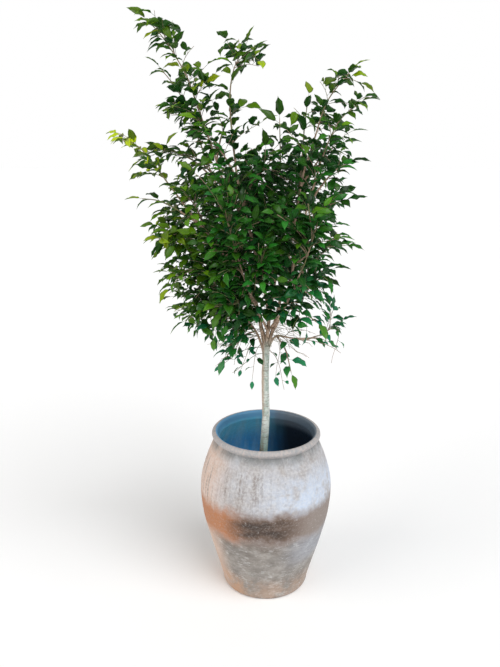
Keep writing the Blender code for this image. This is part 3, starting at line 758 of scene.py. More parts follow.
@dataclass
class WeepingFig:
    """The tree: its woody frame, its twigs and its leaves."""

    crown: Crown = field(default_factory=Crown)
    pattern: LeafPattern = field(default_factory=LeafPattern)
    habit: LeafHabit = field(default_factory=LeafHabit)
    shoot_habit: LeafHabit = field(default_factory=lambda: LeafHabit(
        length=(0.036, 0.054), droop=(40, 80), slope=(-0.1, 0.6), mix=(0.70, 0.40, 0.45),
        roll=24, facing=0.55,
    ))
    trunk_radii: tuple[float, float] = (0.0155, 0.0122)
    tip_radius: float = 0.0013
    twig_radius: float = 0.0011
    first_leaf: float = 0.020
    last_leaf: float = 0.003
    leaf_spacing: float = 0.0250
    turns_tried: tuple[int, ...] = (0, 35, -35, 70, -70, 105, -105)
    places_tried: int = 8400
    passes: int = 3
    off_solid: float = 0.080
    start_back: float = 0.6
    bud_spacing: float = 0.012
    lowest_bud: float = 0.93
    least_shoot: float = 0.035
    leader_growth: float = 0.22
    shoot_leaf_spacing: float = 0.0180
    shoot_first_leaf: float = 0.016
    shoot_sinking: tuple[float, float] = (-0.10, 0.55)
    shoot_step: float = 0.020
    same_place: float = 0.0002
    fork_top: float = 1.06
    fork_reach: float = 0.13
    bare_twigs: int = 110
    bare_twig_radii: tuple[float, float] = (0.0009, 0.0005)
    bare_twig_kink: float = 0.0022
    hanging_reach: float = 0.13
    hanging_size: float = 0.66
    routes: dict[str, Route] = field(default_factory=dict)
    wood: list[Stem] = field(default_factory=list)
    foliage: dict[str, BoughFoliage] = field(default_factory=dict)

    def grow(self) -> None:
        """Lays out the boughs, the leafy branches and their leaves, and then the shoots that fill in."""
        self.pattern.build()
        self.routes["trunk"] = Route.smooth(TRUNK_ROUTE, WOODY_STEP)
        leafy: list[tuple[str, str, Route, float]] = []
        for name, bough in BOUGHS.items():
            parent = self.routes[bough.parent]
            start, _ = parent.at(bough.share * parent.length())
            route = Route.smooth([start, *bough.points], WOODY_STEP)
            self.routes[name] = route
            self.foliage[name] = BoughFoliage(name)
            whole = route.length()
            woody, top = route.split(bough.leafy_from * whole)
            self.wood.append(Stem(woody, bough.radius, bough.radius / 2))
            leafy.append((name, f"branch_{name}_top", top, bough.radius / 2))
            for k, (share, tip) in enumerate(bough.side_tips, 1):
                start, along = route.at(share * whole)
                arm, rest = Route.arched(start, along, Vector(tip)).split(ARM_LENGTH)
                self.wood.append(Stem(arm, ARM_RADIUS, ARM_RADIUS))
                leafy.append((name, f"branch_{name}_side_{k}", rest, ARM_RADIUS))
        for name, node, route, radius in leafy:
            self.keep_branch(self.foliage[name], node, route, radius)
        self.hang_shoots()
        self.fill_crown()
        self.add_bare_twigs()

    def add_bare_twigs(self) -> None:
        """Adds the thin leafless twigs that tangle round the fork, under the leaves."""
        draw = random.Random(f"{SEED} bare")
        low = [
            bud for bud in self.buds()
            if bud[0].z < self.fork_top and math.hypot(bud[0].x, bud[0].y) < self.fork_reach
        ]
        for _ in range(self.bare_twigs):
            start, along, name = draw.choice(low)
            turned = Matrix.Rotation(math.radians(draw.uniform(-70, 70)), 3, "Z") @ outward_from_trunk(start)
            tip = start + turned * draw.uniform(0.04, 0.13) + RISE * draw.uniform(-0.065, 0.03)
            route = Route.arched(start, along, tip, self.shoot_step, draw.uniform(-0.4, 0.6))
            for point in route.points[1:]:
                point += Vector([draw.gauss(0, self.bare_twig_kink) for _ in range(3)])
            self.foliage[name].twigs.append(Stem(route, *self.bare_twig_radii))

    def hang_shoots(self) -> None:
        """Grows the thin shoots that hang out under the crown."""
        draw = random.Random(f"{SEED} hanging")
        for name, tip in HANGING_TIPS:
            place = Vector(tip)
            route = self.routes[name]
            steps = int(route.length() / self.bud_spacing)
            near = [route.at(k * self.bud_spacing) for k in range(2, steps)]
            start, along = min(near, key=lambda bud: abs((bud[0] - place).length - self.hanging_reach))
            self.grow_shoot(self.foliage[name], start, along, place, draw, self.hanging_size)

    def keep_branch(self, foliage: BoughFoliage, node: str, route: Route, radius: float) -> None:
        """Repeats a leafy branch's stem and leaves as its solid has them.

        Args:
            foliage: what the bough carries.
            node: the solid's name.
            route: the stem's route.
            radius: the stem's thickness where it starts.
        """
        foliage.nodes.append(node)
        foliage.twigs.append(Stem(route, radius, self.tip_radius))
        tree = searchable([corner.co for corner in frame["nodes"][node].data.vertices])
        draw = random.Random(f"{SEED} {node}")
        looks = random.Random(f"looks {node}")
        leafy_length = route.length() - self.first_leaf - self.last_leaf
        count = max(2, round(leafy_length / self.leaf_spacing))
        start_turn = draw.uniform(-30, 30)
        for k in range(count + 1):
            distance = self.first_leaf + k * leafy_length / count
            point, along = route.at(distance)
            turn = start_turn + k * (137.5 if along.z > 0.8 else 180)
            for change in self.turns_tried:
                side = side_of(along, turn + change + draw.uniform(-20, 20))
                leaf = self.habit.leaf(point, along, side, draw, k == count)
                if tree.find(leaf.rib(1.0))[2] < self.same_place:
                    leaf.root = route.rounded_at(distance)
                    self.dress(leaf, looks, k / count)
                    self.crown.add(leaf)
                    foliage.leaves.append(leaf)
                    break

    def dress(self, leaf: Leaf, looks: random.Random, outwards: float) -> None:
        """Gives a leaf its blade's small differences and its tone, by where it grows, with painted light on
        the low leaves and a painted teal reflection on the low ones and those right of the middle.

        Args:
            leaf: the leaf.
            looks: the random draws for its looks.
            outwards: how far out it sits on its stem, from 0 to 1.
        """
        leaf.width_share = looks.uniform(0.42, 0.53)
        leaf.twist = math.radians(looks.gauss(0, 22))
        leaf.sweep = looks.gauss(0, 0.08)
        leaf.wave = looks.uniform(0.08, 0.30)
        leaf.phase = looks.uniform(0, math.tau)
        x, z = leaf.root.x, leaf.root.z
        # Painted light: leaves low in the crown are made brighter.
        leaf.shade = min(1.0, looks.random() ** 1.4 + 0.25 * ramp(z, 1.08, 0.94))
        olive = max(ramp(x, -0.10, -0.32), ramp(z, 1.52, 1.75))
        tip = ramp(x, -0.34, -0.42) * ramp(z, 1.38, 1.50)
        youth = 0.5 * olive + 0.45 * tip + 0.12 * outwards ** 3 + looks.gauss(0, 0.10)
        leaf.youth = min(1.0, max(0.0, youth))
        warmth_and_painted_sheen = 0.5 + looks.gauss(0, 0.05)
        warmth_and_painted_sheen += 0.4 * outwards * ramp(x, 0.24, 0.30) * ramp(z, 1.60, 1.68)
        # Painted reflection: leaves low in the crown, and lower ones right of the middle, are pulled towards
        # a teal sheen.
        painted_teal_sheen = max(ramp(x, -0.12, 0.12) * ramp(z, 1.30, 0.95), ramp(z, 1.08, 0.94))
        warmth_and_painted_sheen -= 0.45 * painted_teal_sheen * looks.uniform(0.3, 1.0)
        leaf.warmth_and_painted_sheen = min(1.0, max(0.0, warmth_and_painted_sheen))

    def fill_crown(self) -> None:
        """Grows shoots from the nearest stems towards the crown's empty places."""
        draw = random.Random(f"{SEED} shoots")
        solid = self.solid_corners()
        wanted = [
            place for place in self.crown.shape.places(self.places_tried, draw)
            if solid.find(place)[2] < self.off_solid
        ]
        for _ in range(self.passes):
            buds = self.buds()
            tree = searchable([point for point, _, _ in buds])
            left = []
            for place in wanted:
                point, k, distance = tree.find(place)
                below = point - self.start_back * distance * buds[k][1]
                start, k, _ = tree.find(below)
                reach = (place - start).length
                if reach > self.shoot_reach(place):
                    left.append(place)
                elif reach > self.least_shoot and not self.crown.is_near(place, self.crown.cell):
                    self.grow_shoot(self.foliage[buds[k][2]], start, buds[k][1], place, draw)
            wanted = left

    def solid_corners(self) -> KDTree:
        """The corners of all the leafy branches' solids, to be searched by place."""
        nodes = [frame["nodes"][node] for foliage in self.foliage.values() for node in foliage.nodes]
        return searchable([corner.co for node in nodes for corner in node.data.vertices])

    def buds(self) -> list[tuple[Vector, Vector, str]]:
        """Where shoots may start: points of all the stems, with the stem's direction and its bough."""
        found = []
        stems = [(name, twig.route) for name, foliage in self.foliage.items() for twig in foliage.twigs]
        stems += [(name, self.routes[name]) for name in BOUGHS]
        for name, route in stems:
            whole = route.length()
            for k in range(1, int(whole / self.bud_spacing)):
                distance = k * self.bud_spacing
                point = route.rounded_at(distance)
                if point.z > self.lowest_bud:
                    found.append((point, route.at(distance)[1], name))
        return found

    def shoot_reach(self, place: Vector) -> float:
        """How long a shoot may be, by height: short on the leaders, long in the crown's body."""
        return float(np.interp(place.z, (0.90, 1.50, 1.75, 1.95), (0.20, 0.19, 0.13, 0.10)))

    def grow_shoot(
        self, foliage: BoughFoliage, start: Vector, along: Vector, tip: Vector, draw: random.Random,
        hanging: float = 1.0,
    ) -> None:
        """Grows one shoot with its leaves, which arches out to its tip.

        Args:
            foliage: what the bough carries.
            start: where it leaves its stem.
            along: the stem's direction there.
            tip: where it ends.
            draw: the random draws.
            hanging: how large its leaves are against the usual ones, less than 1 where it hangs out bare.
        """
        sinking = draw.uniform(*self.shoot_sinking)
        route = Route.arched(start, along, tip, self.shoot_step, sinking)
        whole = route.length()
        first = self.shoot_first_leaf
        hangs = hanging < 1.0
        spacing = self.shoot_leaf_spacing * draw.uniform(0.85, 1.25) * (2.0 if hangs else 1.0)
        count = max(1, round((whole - first) / spacing))
        turn = draw.uniform(-30, 30)
        size = hanging * (1 + self.leader_growth * max(ramp(tip.z, 1.50, 1.70), ramp(tip.x, -0.25, -0.40)))
        reach = 0.0 if hangs else 0.85
        grown = []
        for k in range(count + 1):
            distance = whole if k == count else first + k * (whole - first) / count
            point, ahead = route.at(distance)
            step = 137.5 if ahead.z > 0.85 else 180
            for change in (0, 40, -40, 80):
                leaf_side = side_of(ahead, turn + step * k + change + draw.uniform(-20, 20))
                leaf = self.shoot_habit.leaf(point, ahead, leaf_side, draw, k == count)
                leaf.length *= size
                if self.crown.shape.holds(leaf.rib(reach)) and self.crown.is_clear(leaf):
                    self.dress(leaf, draw, k / count)
                    self.crown.add(leaf)
                    grown.append(leaf)
                    break
        if grown:
            foliage.leaves += grown
            foliage.twigs.append(Stem(route, self.twig_radius, 0.6 * self.twig_radius))

    def build_leaves(self, finish: bpy.types.Material) -> None:
        """Makes one piece of leaves for each bough, in place of its leafy branches' solids."""
        for name, foliage in self.foliage.items():
            piece = place_piece(f"leaves_{name}", self.pattern.repeated(foliage.leaves), [finish])
            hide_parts(*foliage.nodes)
            log.info("%s: %d leaves", piece.name, len(foliage.leaves))

    def build_twigs(self, finish: bpy.types.Material) -> None:
        """Makes one piece of twigs for each bough."""
        for name, foliage in self.foliage.items():
            mesh = stems_mesh(foliage.twigs, 1, 0.012)
            piece = place_piece(f"twigs_{name}", mesh, [finish])
            log.info("%s: %d twigs", piece.name, len(foliage.twigs))

    def build_wood(self, finish: bpy.types.Material) -> None:
        """Makes the trunk with its boughs, with knots and a slightly uneven girth."""
        trunk = stems_mesh([Stem(self.routes["trunk"], *self.trunk_radii)], 10, 0.004)
        boughs = stems_mesh(self.wood, 3, 0.008)
        shaped = bmesh.new()
        shaped.from_mesh(trunk)
        shaped.from_mesh(boughs)
        for vert in shaped.verts:
            self.roughen(vert)
        mesh = finished(shaped, "wood")
        piece = place_piece("trunk_and_boughs", mesh, [finish])
        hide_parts("trunk")
        log.info("%s: %d faces", piece.name, len(mesh.polygons))

    def roughen(self, vert: bmesh.types.BMVert) -> None:
        """Moves a corner of the bark in or out a little, for lenticels, ridges and uneven growth."""
        swell = noise.noise(vert.co * 38.0) * 0.0008
        grain = noise.noise(Vector((vert.co.x * 260, vert.co.y * 260, vert.co.z * 120))) * 0.0004
        share = 1.0 if vert.co.z < 0.9 else 0.5
        vert.co += vert.normal * (swell + grain) * share


def stems_mesh(stems: Sequence[Stem], roundness: int, step: float) -> bpy.types.Mesh:
    """One mesh of round tapering stems.

    Args:
        stems: the stems.
        roundness: the curve's bevel resolution: a stem has 4 sides and 2 more for each.
        step: about how far apart a stem's rings are.

    Returns:
        The mesh, in the row frame.
    """
    curve = bpy.data.curves.new("stems", "CURVE")
    curve.dimensions = "3D"
    curve.bevel_depth = 1.0
    curve.bevel_resolution = roundness
    curve.use_fill_caps = True
    for stem in stems:
        points = stem.route.rounded(step).points
        spline = curve.splines.new("POLY")
        spline.points.add(len(points) - 1)
        for k, (point, position) in enumerate(zip(spline.points, points)):
            point.co = (*position, 1.0)
            point.radius = stem.first + (stem.last - stem.first) * k / (len(points) - 1)
    guide = bpy.data.objects.new("stems", curve)
    bpy.context.scene.collection.objects.link(guide)
    graph = bpy.context.evaluated_depsgraph_get()
    mesh = bpy.data.meshes.new_from_object(guide.evaluated_get(graph))
    bpy.data.objects.remove(guide)
    bpy.data.curves.remove(curve)
    welded = bmesh.new()
    welded.from_mesh(mesh)
    bmesh.ops.remove_doubles(welded, verts=welded.verts, dist=1e-5)
    bmesh.ops.recalc_face_normals(welded, faces=welded.faces)
    welded.to_mesh(mesh)
    welded.free()
    return mesh


# Jar and soil

@dataclass
class EarthenJar:
    """The jar, thrown on a wheel: a rounded foot, a belly, a neck and a rolled lip."""

    height: float = 0.600
    wall: float = 0.016
    floor: float = 0.022
    foot_round: float = 0.012
    lip_radius: float = 0.0107
    lip_middle: float = 0.1846
    side: tuple[tuple[float, float], ...] = (
        (0.018, 0.1585), (0.100, 0.1808), (0.190, 0.2064), (0.270, 0.2264), (0.330, 0.2356),
        (0.380, 0.2386), (0.430, 0.2340), (0.490, 0.2180), (0.540, 0.1987), (0.573, 0.1838),
    )
    steps: int = 144
    row_height: float = 0.0055
    soil_top: float = 0.385
    soil_crown: float = 0.006
    soil_clearance: float = 0.0015
    crumbs: int = 420

    def wall_line(self, inwards: float, rising: bool) -> list[Vector]:
        """The side's profile.

        Args:
            inwards: how far inside the outer side it lies.
            rising: whether it runs from the foot up.

        Returns:
            Its points in the turning plane.
        """
        line = Route.smooth([(r, 0.0, h) for h, r in self.side], self.row_height).points
        line = [Vector((p.x - inwards, 0.0, p.z)) for p in line]
        return line if rising else line[::-1]

    def arc(
        self, centre: tuple[float, float], radius: float, first: float, last: float, pieces: int
    ) -> list[Vector]:
        """Points on an arc in the turning plane, with the angles in degrees."""
        angles = [math.radians(first + (last - first) * k / pieces) for k in range(pieces + 1)]
        return [
            Vector((centre[0] + radius * math.cos(a), 0.0, centre[1] + radius * math.sin(a))) for a in angles
        ]

    def turned(self, profile: Sequence[Vector]) -> bmesh.types.BMesh:
        """Turns a profile about the jar's axis into a closed body.

        Args:
            profile: its points, from the axis round to the axis.

        Returns:
            The turned body.
        """
        shaped = bmesh.new()
        corners = [shaped.verts.new(point) for point in profile]
        edges = [shaped.edges.new(pair) for pair in zip(corners, corners[1:])]
        bmesh.ops.spin(
            shaped, geom=corners + edges, cent=(0, 0, 0), axis=(0, 0, 1), angle=math.tau,
            steps=self.steps, use_merge=True, use_duplicate=False,
        )
        bmesh.ops.remove_doubles(shaped, verts=shaped.verts, dist=1e-5)
        bmesh.ops.recalc_face_normals(shaped, faces=shaped.faces)
        return shaped

    def build_jar(self, outside: bpy.types.Material, inside: bpy.types.Material) -> None:
        """Makes the jar in place of its solid."""
        foot = self.side[0][1] - self.foot_round
        inner = [p for p in self.wall_line(self.wall, True) if p.z > self.floor + 0.004]
        lip = self.arc((self.lip_middle, self.height - self.lip_radius), self.lip_radius, 190, -80, 16)
        base = self.arc((foot, self.foot_round), self.foot_round, -10, -90, 5)
        profile = [
            Vector((0, 0, self.floor)), Vector((0.05, 0, self.floor)), Vector((0.10, 0, self.floor)),
            Vector((inner[0].x - 0.004, 0, self.floor)), *inner, *lip, *self.wall_line(0.0, False),
            *base, Vector((0.08, 0, 0)), Vector((0, 0, 0)),
        ]
        shaped = self.turned(profile)
        turn = shaped.verts.layers.float_vector.new("turn")
        for vert in shaped.verts:
            away = Vector((vert.co.x, vert.co.y, 0.0))
            ahead = away.normalized() if away.length > 1e-6 else Vector()
            vert[turn] = (ahead.x, ahead.y, vert.co.z)
            if vert.co.z > 0.004:
                vert.co += ahead * self.relief(ahead, vert.co.z)
        for face in shaped.faces:
            middle = face.calc_center_median()
            radius = math.hypot(middle.x, middle.y)
            neck = self.height - 2 * self.lip_radius
            inner_wall = radius < self.radius_at(middle.z) - self.wall / 2 and middle.z > self.floor / 2
            inner_lip = middle.z >= neck and radius < self.lip_middle - 0.35 * self.lip_radius
            face.material_index = 1 if (middle.z < neck and inner_wall) or inner_lip else 0
        mesh = finished(shaped, "jar")
        piece = place_piece("earthenware_jar", mesh, [outside, inside])
        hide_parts("jar")
        log.info("%s: %d faces", piece.name, len(mesh.polygons))

    def radius_at(self, height: float) -> float:
        """The side's outer radius at a height."""
        return float(np.interp(height, [h for h, _ in self.side], [r for _, r in self.side]))

    def relief(self, ahead: Vector, height: float) -> float:
        """How far the hand-thrown side stands out at a place: wheel marks and shallow dents."""
        marks = noise.noise(Vector((ahead.x * 0.7, ahead.y * 0.7, height * 150))) * 0.00035
        swell = noise.noise(Vector((ahead.x * 1.3, ahead.y * 1.3, height * 9))) * 0.0009
        return marks + swell

    def build_soil(self, finish: bpy.types.Material) -> None:
        """Makes the soil in place of its solid, with a crumbly top and loose crumbs on it."""
        bottom = self.floor + GAP
        side = self.wall_line(self.wall + GAP + self.soil_clearance, True)
        inner = [p for p in side if self.floor + 0.004 < p.z < self.soil_top]
        rim = inner[-1].x
        rows = 34
        top = [
            Vector((rim * k / rows, 0, self.soil_top + self.soil_crown * min(1.0, 2 * (1 - k / rows))))
            for k in range(rows)
        ]
        profile = [*top, *inner[::-1], Vector((inner[0].x - 0.004, 0, bottom)), Vector((0, 0, bottom))]
        shaped = self.turned(profile)
        for vert in shaped.verts:
            if vert.co.z > self.soil_top - 0.004:
                lumps = noise.noise(vert.co * 60) * 0.0035 + noise.noise(vert.co * 170) * 0.0018
                vert.co.z += lumps - 0.002
        draw = random.Random("crumbs")
        for _ in range(self.crumbs):
            angle, reach = draw.uniform(0, math.tau), (rim - 0.008) * math.sqrt(draw.random())
            if reach < 0.03:
                continue
            size = draw.uniform(0.0015, 0.0042)
            level = self.soil_top + 0.6 * size + self.soil_crown * min(1.0, 2 * (1 - reach / rim))
            at = Vector((reach * math.cos(angle), reach * math.sin(angle), level))
            crumb = bmesh.ops.create_icosphere(
                shaped, subdivisions=1, radius=size, matrix=Matrix.Translation(at),
            )["verts"]
            for vert in crumb:
                vert.co += (vert.co - at) * noise.noise(vert.co * 900) * 0.7
        mesh = finished(shaped, "soil")
        piece = place_piece("potting_soil", mesh, [finish])
        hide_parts("soil")
        log.info("%s: %d faces", piece.name, len(mesh.polygons))


# Finishes

class ShaderTree:
    """Adds and joins the nodes of one material or node group."""

    def __init__(self, tree: bpy.types.NodeTree) -> None:
        """Keeps the tree whose nodes are made."""
        self.tree = tree

    def add(self, kind: str, inputs: Optional[dict[Any, Any]] = None, **settings: Any) -> bpy.types.Node:
        """Adds a node.

        Args:
            kind: the node's type.
            inputs: values or sockets for its inputs, by name or place.
            settings: its other settings.

        Returns:
            The node.
        """
        node = self.tree.nodes.new(kind)
        for name, value in settings.items():
            setattr(node, name, value)
        for name, value in (inputs or {}).items():
            if isinstance(value, bpy.types.NodeSocket):
                self.tree.links.new(value, node.inputs[name])
            elif isinstance(value, tuple) and len(value) == 3 and node.inputs[name].type == "RGBA":
                node.inputs[name].default_value = (*value, 1.0)
            else:
                node.inputs[name].default_value = value
        return node

    def noise(self, vector: Any, scale: float, detail: float = 3.0, roughness: float = 0.55) -> Any:
        """A noise from 0 to 1 over a vector."""
        inputs = {"Vector": vector, "Scale": scale, "Detail": detail, "Roughness": roughness}
        return self.add("ShaderNodeTexNoise", inputs).outputs["Fac"]

    def mix(self, factor: Any, first: Any, second: Any, blend: str = "MIX") -> Any:
        """A colour mixed from two."""
        node = self.add("ShaderNodeMix", data_type="RGBA", blend_type=blend)
        for place, value in ((0, factor), (6, first), (7, second)):
            if isinstance(value, bpy.types.NodeSocket):
                self.tree.links.new(value, node.inputs[place])
            elif isinstance(value, tuple):
                node.inputs[place].default_value = (*value, 1.0)
            else:
                node.inputs[place].default_value = value
        return node.outputs[2]

    def maths(self, operation: str, first: Any, second: Any = 0.0) -> Any:
        """A number worked out from one or two."""
        return self.add("ShaderNodeMath", {0: first, 1: second}, operation=operation).outputs[0]

    def times(self, first: Any, second: Any) -> Any:
        """The product of two numbers."""
        return self.maths("MULTIPLY", first, second)

    def step(self, value: Any, low: float, high: float, to_low: float = 0.0, to_high: float = 1.0) -> Any:
        """A smooth step of a value, between two limits."""
        inputs = {"Value": value, "From Min": low, "From Max": high, "To Min": to_low, "To Max": to_high}
        return self.add("ShaderNodeMapRange", inputs, interpolation_type="SMOOTHSTEP").outputs["Result"]

    def scaled(self, vector: Any, x: float, y: float, z: float) -> Any:
        """A vector stretched along its axes."""
        return self.add("ShaderNodeMapping", {"Vector": vector, "Scale": (x, y, z)}).outputs["Vector"]

    def split(self, vector: Any) -> tuple[Any, Any, Any]:
        """A vector's three parts."""
        node = self.add("ShaderNodeSeparateXYZ", {"Vector": vector})
        return node.outputs[0], node.outputs[1], node.outputs[2]

    def paint(
        self, shader: bpy.types.Node, colour: Any, roughness: Any, relief: Any, strength: float, depth: float
    ) -> None:
        """Gives a shader its colour, its roughness and a fine relief.

        Args:
            shader: the material's shader.
            colour, roughness, relief: the sockets that they come from.
            strength: how strongly the relief shows.
            depth: how deep it is, in metres.
        """
        bump = self.add("ShaderNodeBump", {"Height": relief, "Strength": strength, "Distance": depth})
        sources = {"Base Color": colour, "Roughness": roughness, "Normal": bump.outputs["Normal"]}
        for name, source in sources.items():
            self.tree.links.new(source, shader.inputs[name])


def new_material(name: str) -> tuple[bpy.types.Material, ShaderTree, bpy.types.Node]:
    """A new material with a Principled shader.

    Args:
        name: its name.

    Returns:
        The material, its tree and its shader.
    """
    made = bpy.data.materials.new(name)
    made.use_nodes = True
    return made, ShaderTree(made.node_tree), made.node_tree.nodes["Principled BSDF"]


def mottling_group() -> bpy.types.NodeTree:
    """The group that mottles a surface: two sizes of noise, laid over each other.

    Returns:
        A group that takes a vector, a scale and a sharpness, and gives a mask from 0 to 1.
    """
    group = bpy.data.node_groups.new("mottling", "ShaderNodeTree")
    group.interface.new_socket("Vector", in_out="INPUT", socket_type="NodeSocketVector")
    for name, value in (("Scale", 10.0), ("Level", 0.5), ("Softness", 0.15)):
        socket = group.interface.new_socket(name, in_out="INPUT", socket_type="NodeSocketFloat")
        socket.default_value = value
    group.interface.new_socket("Mask", in_out="OUTPUT", socket_type="NodeSocketFloat")
    tree = ShaderTree(group)
    given = tree.add("NodeGroupInput").outputs
    fine_scale = tree.times(given["Scale"], 4.3)
    vector = given["Vector"]
    coarse = tree.add("ShaderNodeTexNoise", {"Vector": vector, "Scale": given["Scale"], "Detail": 4.0})
    fine = tree.add("ShaderNodeTexNoise", {"Vector": vector, "Scale": fine_scale, "Detail": 3.0})
    both = tree.maths("ADD", tree.times(coarse.outputs["Fac"], 0.7), tree.times(fine.outputs["Fac"], 0.3))
    low = tree.maths("SUBTRACT", given["Level"], given["Softness"])
    high = tree.maths("ADD", given["Level"], given["Softness"])
    mask = tree.add("ShaderNodeMapRange", {"Value": both, "From Min": low, "From Max": high},
                    interpolation_type="SMOOTHSTEP")
    tree.add("NodeGroupOutput", {"Mask": mask.outputs["Result"]})
    return group


@dataclass
class Mottling:
    """Places the mottling group in materials."""

    group: bpy.types.NodeTree

    def mask(
        self, tree: ShaderTree, vector: Any, scale: float, level: float = 0.5, softness: float = 0.15
    ) -> Any:
        """A mottled mask in a material.

        Args:
            tree: the material's tree.
            vector: what it is laid over.
            scale: how fine it is.
            level: how much noise it takes to show.
            softness: how soft its edges are.

        Returns:
            The mask's socket.
        """
        node = tree.add("ShaderNodeGroup", node_tree=self.group)
        tree.tree.links.new(vector, node.inputs["Vector"])
        for name, value in (("Scale", scale), ("Level", level), ("Softness", softness)):
            node.inputs[name].default_value = value
        return node.outputs["Mask"]


@dataclass(frozen=True)
class WeatheredEarthenware:
    """The jar's outside: a pale wash, a rust-brown band where it was fired unevenly, and a stained foot, with
    painted warm light on its left side, painted cool light on its right side and a painted shade under the
    lip.
    """

    wash_grey: Colour = tint(164, 156, 152)
    wash_pale: Colour = tint(184, 186, 193)
    # Painted warm light on the jar's left side.
    painted_warm_light_tint: Colour = tint(222, 190, 170)
    # Pale blue patches on the right side: partly the wash's own, partly painted cool light.
    cool_patches_and_painted_light: Colour = tint(198, 211, 230)
    fleck: Colour = tint(226, 226, 226)
    # Painted shade under the rolled lip.
    neck: Colour = tint(112, 116, 116)
    streak: Colour = tint(132, 122, 116)
    band_orange: Colour = tint(182, 122, 82)
    band_brown: Colour = tint(122, 98, 82)
    band_dark: Colour = tint(60, 49, 43)
    band_taupe: Colour = tint(144, 132, 125)
    low_dark: Colour = tint(138, 133, 128)
    low_pale: Colour = tint(172, 166, 160)
    low_stain: Colour = tint(108, 100, 92)
    # Painted cool light on the right side of the lower part.
    painted_cool_light_low: Colour = tint(166, 170, 180)
    foot_rust: Colour = tint(190, 150, 120)
    rim: Colour = tint(158, 160, 163)
    rim_worn: Colour = tint(214, 196, 186)

    def material(self, mottling: Mottling) -> bpy.types.Material:
        """The finish as a material, laid by the jar's "turn" attribute."""
        made, tree, shader = new_material("weathered_earthenware_wash")
        turn = tree.add("ShaderNodeAttribute", attribute_name="turn").outputs["Vector"]
        right, _, height = tree.split(turn)
        uneven = tree.noise(tree.scaled(turn, 1, 1, 4), 1.9, 3.0)
        feather = tree.noise(tree.scaled(turn, 9, 9, 40), 1.0, 4.0)
        wobble = tree.maths("ADD", tree.times(uneven, 0.07), tree.times(feather, 0.04))
        level = tree.maths("ADD", height, tree.maths("SUBTRACT", wobble, 0.05))

        colour = self.wash_coat(tree, mottling, turn, right, height, level)
        lower = self.low_coat(tree, mottling, turn, right, height)
        colour = tree.mix(tree.step(level, 0.31, 0.25), colour, lower)
        band = self.fired_band(tree, mottling, turn, right, level)
        in_band = tree.times(tree.step(level, 0.414, 0.362), tree.step(level, 0.238, 0.300))
        colour = tree.mix(in_band, colour, band)

        grit = tree.noise(tree.scaled(turn, 34, 34, 150), 1.0, 4.0, 0.6)
        wheel = tree.noise(tree.scaled(turn, 1.2, 1.2, 190), 1.0, 3.0, 0.6)
        colour = tree.mix(tree.step(wheel, 0.52, 0.72, 0.0, 0.16), colour, self.streak)
        colour = tree.mix(tree.step(grit, 0.60, 0.78, 0.0, 0.40), colour, self.streak)
        colour = tree.mix(tree.step(grit, 0.40, 0.26, 0.0, 0.40), colour, self.fleck)
        worn = mottling.mask(tree, tree.scaled(turn, 10, 10, 40), 2.6, 0.52, 0.2)
        rim = tree.mix(tree.times(worn, 0.6), self.rim, self.rim_worn)
        colour = tree.mix(tree.step(height, 0.571, 0.577), colour, rim)
        height_map = tree.maths("ADD", tree.times(wheel, 0.5), tree.times(grit, 0.8))
        tree.paint(shader, colour, tree.step(grit, 0.2, 0.8, 0.62, 0.88), height_map, 0.4, 0.0010)
        return made

    def wash_coat(
        self, tree: ShaderTree, mottling: Mottling, turn: Any, right: Any, height: Any, level: Any
    ) -> Any:
        """The pale wash of the upper half, with its stains, a painted shade under the lip, painted warm light
        on the left and painted cool light on the right.

        Args:
            tree: the material's tree.
            mottling: the group for mottled masks.
            turn, right, height: the jar's attribute, and its first and last parts.
            level: the height, made uneven.

        Returns:
            Its colour's socket.
        """
        cloudy = mottling.mask(tree, tree.scaled(turn, 1, 1, 5), 3.4, 0.5, 0.22)
        colour = tree.mix(cloudy, self.wash_grey, self.wash_pale)
        # Painted warm light: the left side is tinted warm, where the warm fill light falls.
        painted_warm_light_side = tree.step(right, -0.50, -0.98, 0.0, 0.85)
        colour = tree.mix(painted_warm_light_side, colour, self.painted_warm_light_tint)
        # Painted cool light: pale blue patches on the right side, where the cool key light falls; the patches
        # are partly the wash's own.
        patch = mottling.mask(tree, tree.scaled(turn, 1.4, 1.4, 6), 2.6, 0.47, 0.12)
        painted_cool_light = tree.times(tree.step(right, -0.35, 0.45), tree.step(level, 0.54, 0.44))
        colour = tree.mix(tree.times(tree.times(painted_cool_light, patch), 0.9), colour, self.cool_patches_and_painted_light)
        flecks = mottling.mask(tree, tree.scaled(turn, 12, 12, 50), 2.4, 0.52, 0.12)
        colour = tree.mix(tree.times(flecks, 0.35), colour, self.fleck)
        # Painted shade: a darker grey band just under the rolled lip.
        shade = mottling.mask(tree, tree.scaled(turn, 3, 3, 9), 1.3, 0.47, 0.2)
        painted_shade_under_lip = tree.times(tree.step(height, 0.530, 0.572), tree.step(shade, 0.0, 1.0, 0.35, 1.0))
        colour = tree.mix(tree.times(painted_shade_under_lip, 0.85), colour, self.neck)
        bent = tree.times(tree.noise(tree.scaled(turn, 2, 2, 16), 1.0, 2.0), 0.05)
        skewed = tree.add("ShaderNodeVectorMath", {0: turn, 1: bent}, operation="ADD")
        runs = tree.noise(tree.scaled(skewed.outputs[0], 15, 15, 5), 1.0, 4.0, 0.65)
        drips = tree.times(tree.step(runs, 0.50, 0.66), tree.step(flecks, 0.9, 0.2, 0.35, 1.0))
        reach = tree.times(tree.step(height, 0.545, 0.50), tree.step(height, 0.36, 0.41, 0.3, 1.0))
        front = tree.step(right, 0.20, -0.15, 0.10, 1.0)
        drips = tree.times(tree.times(drips, reach), front)
        return tree.mix(tree.times(drips, 0.70), colour, self.streak)

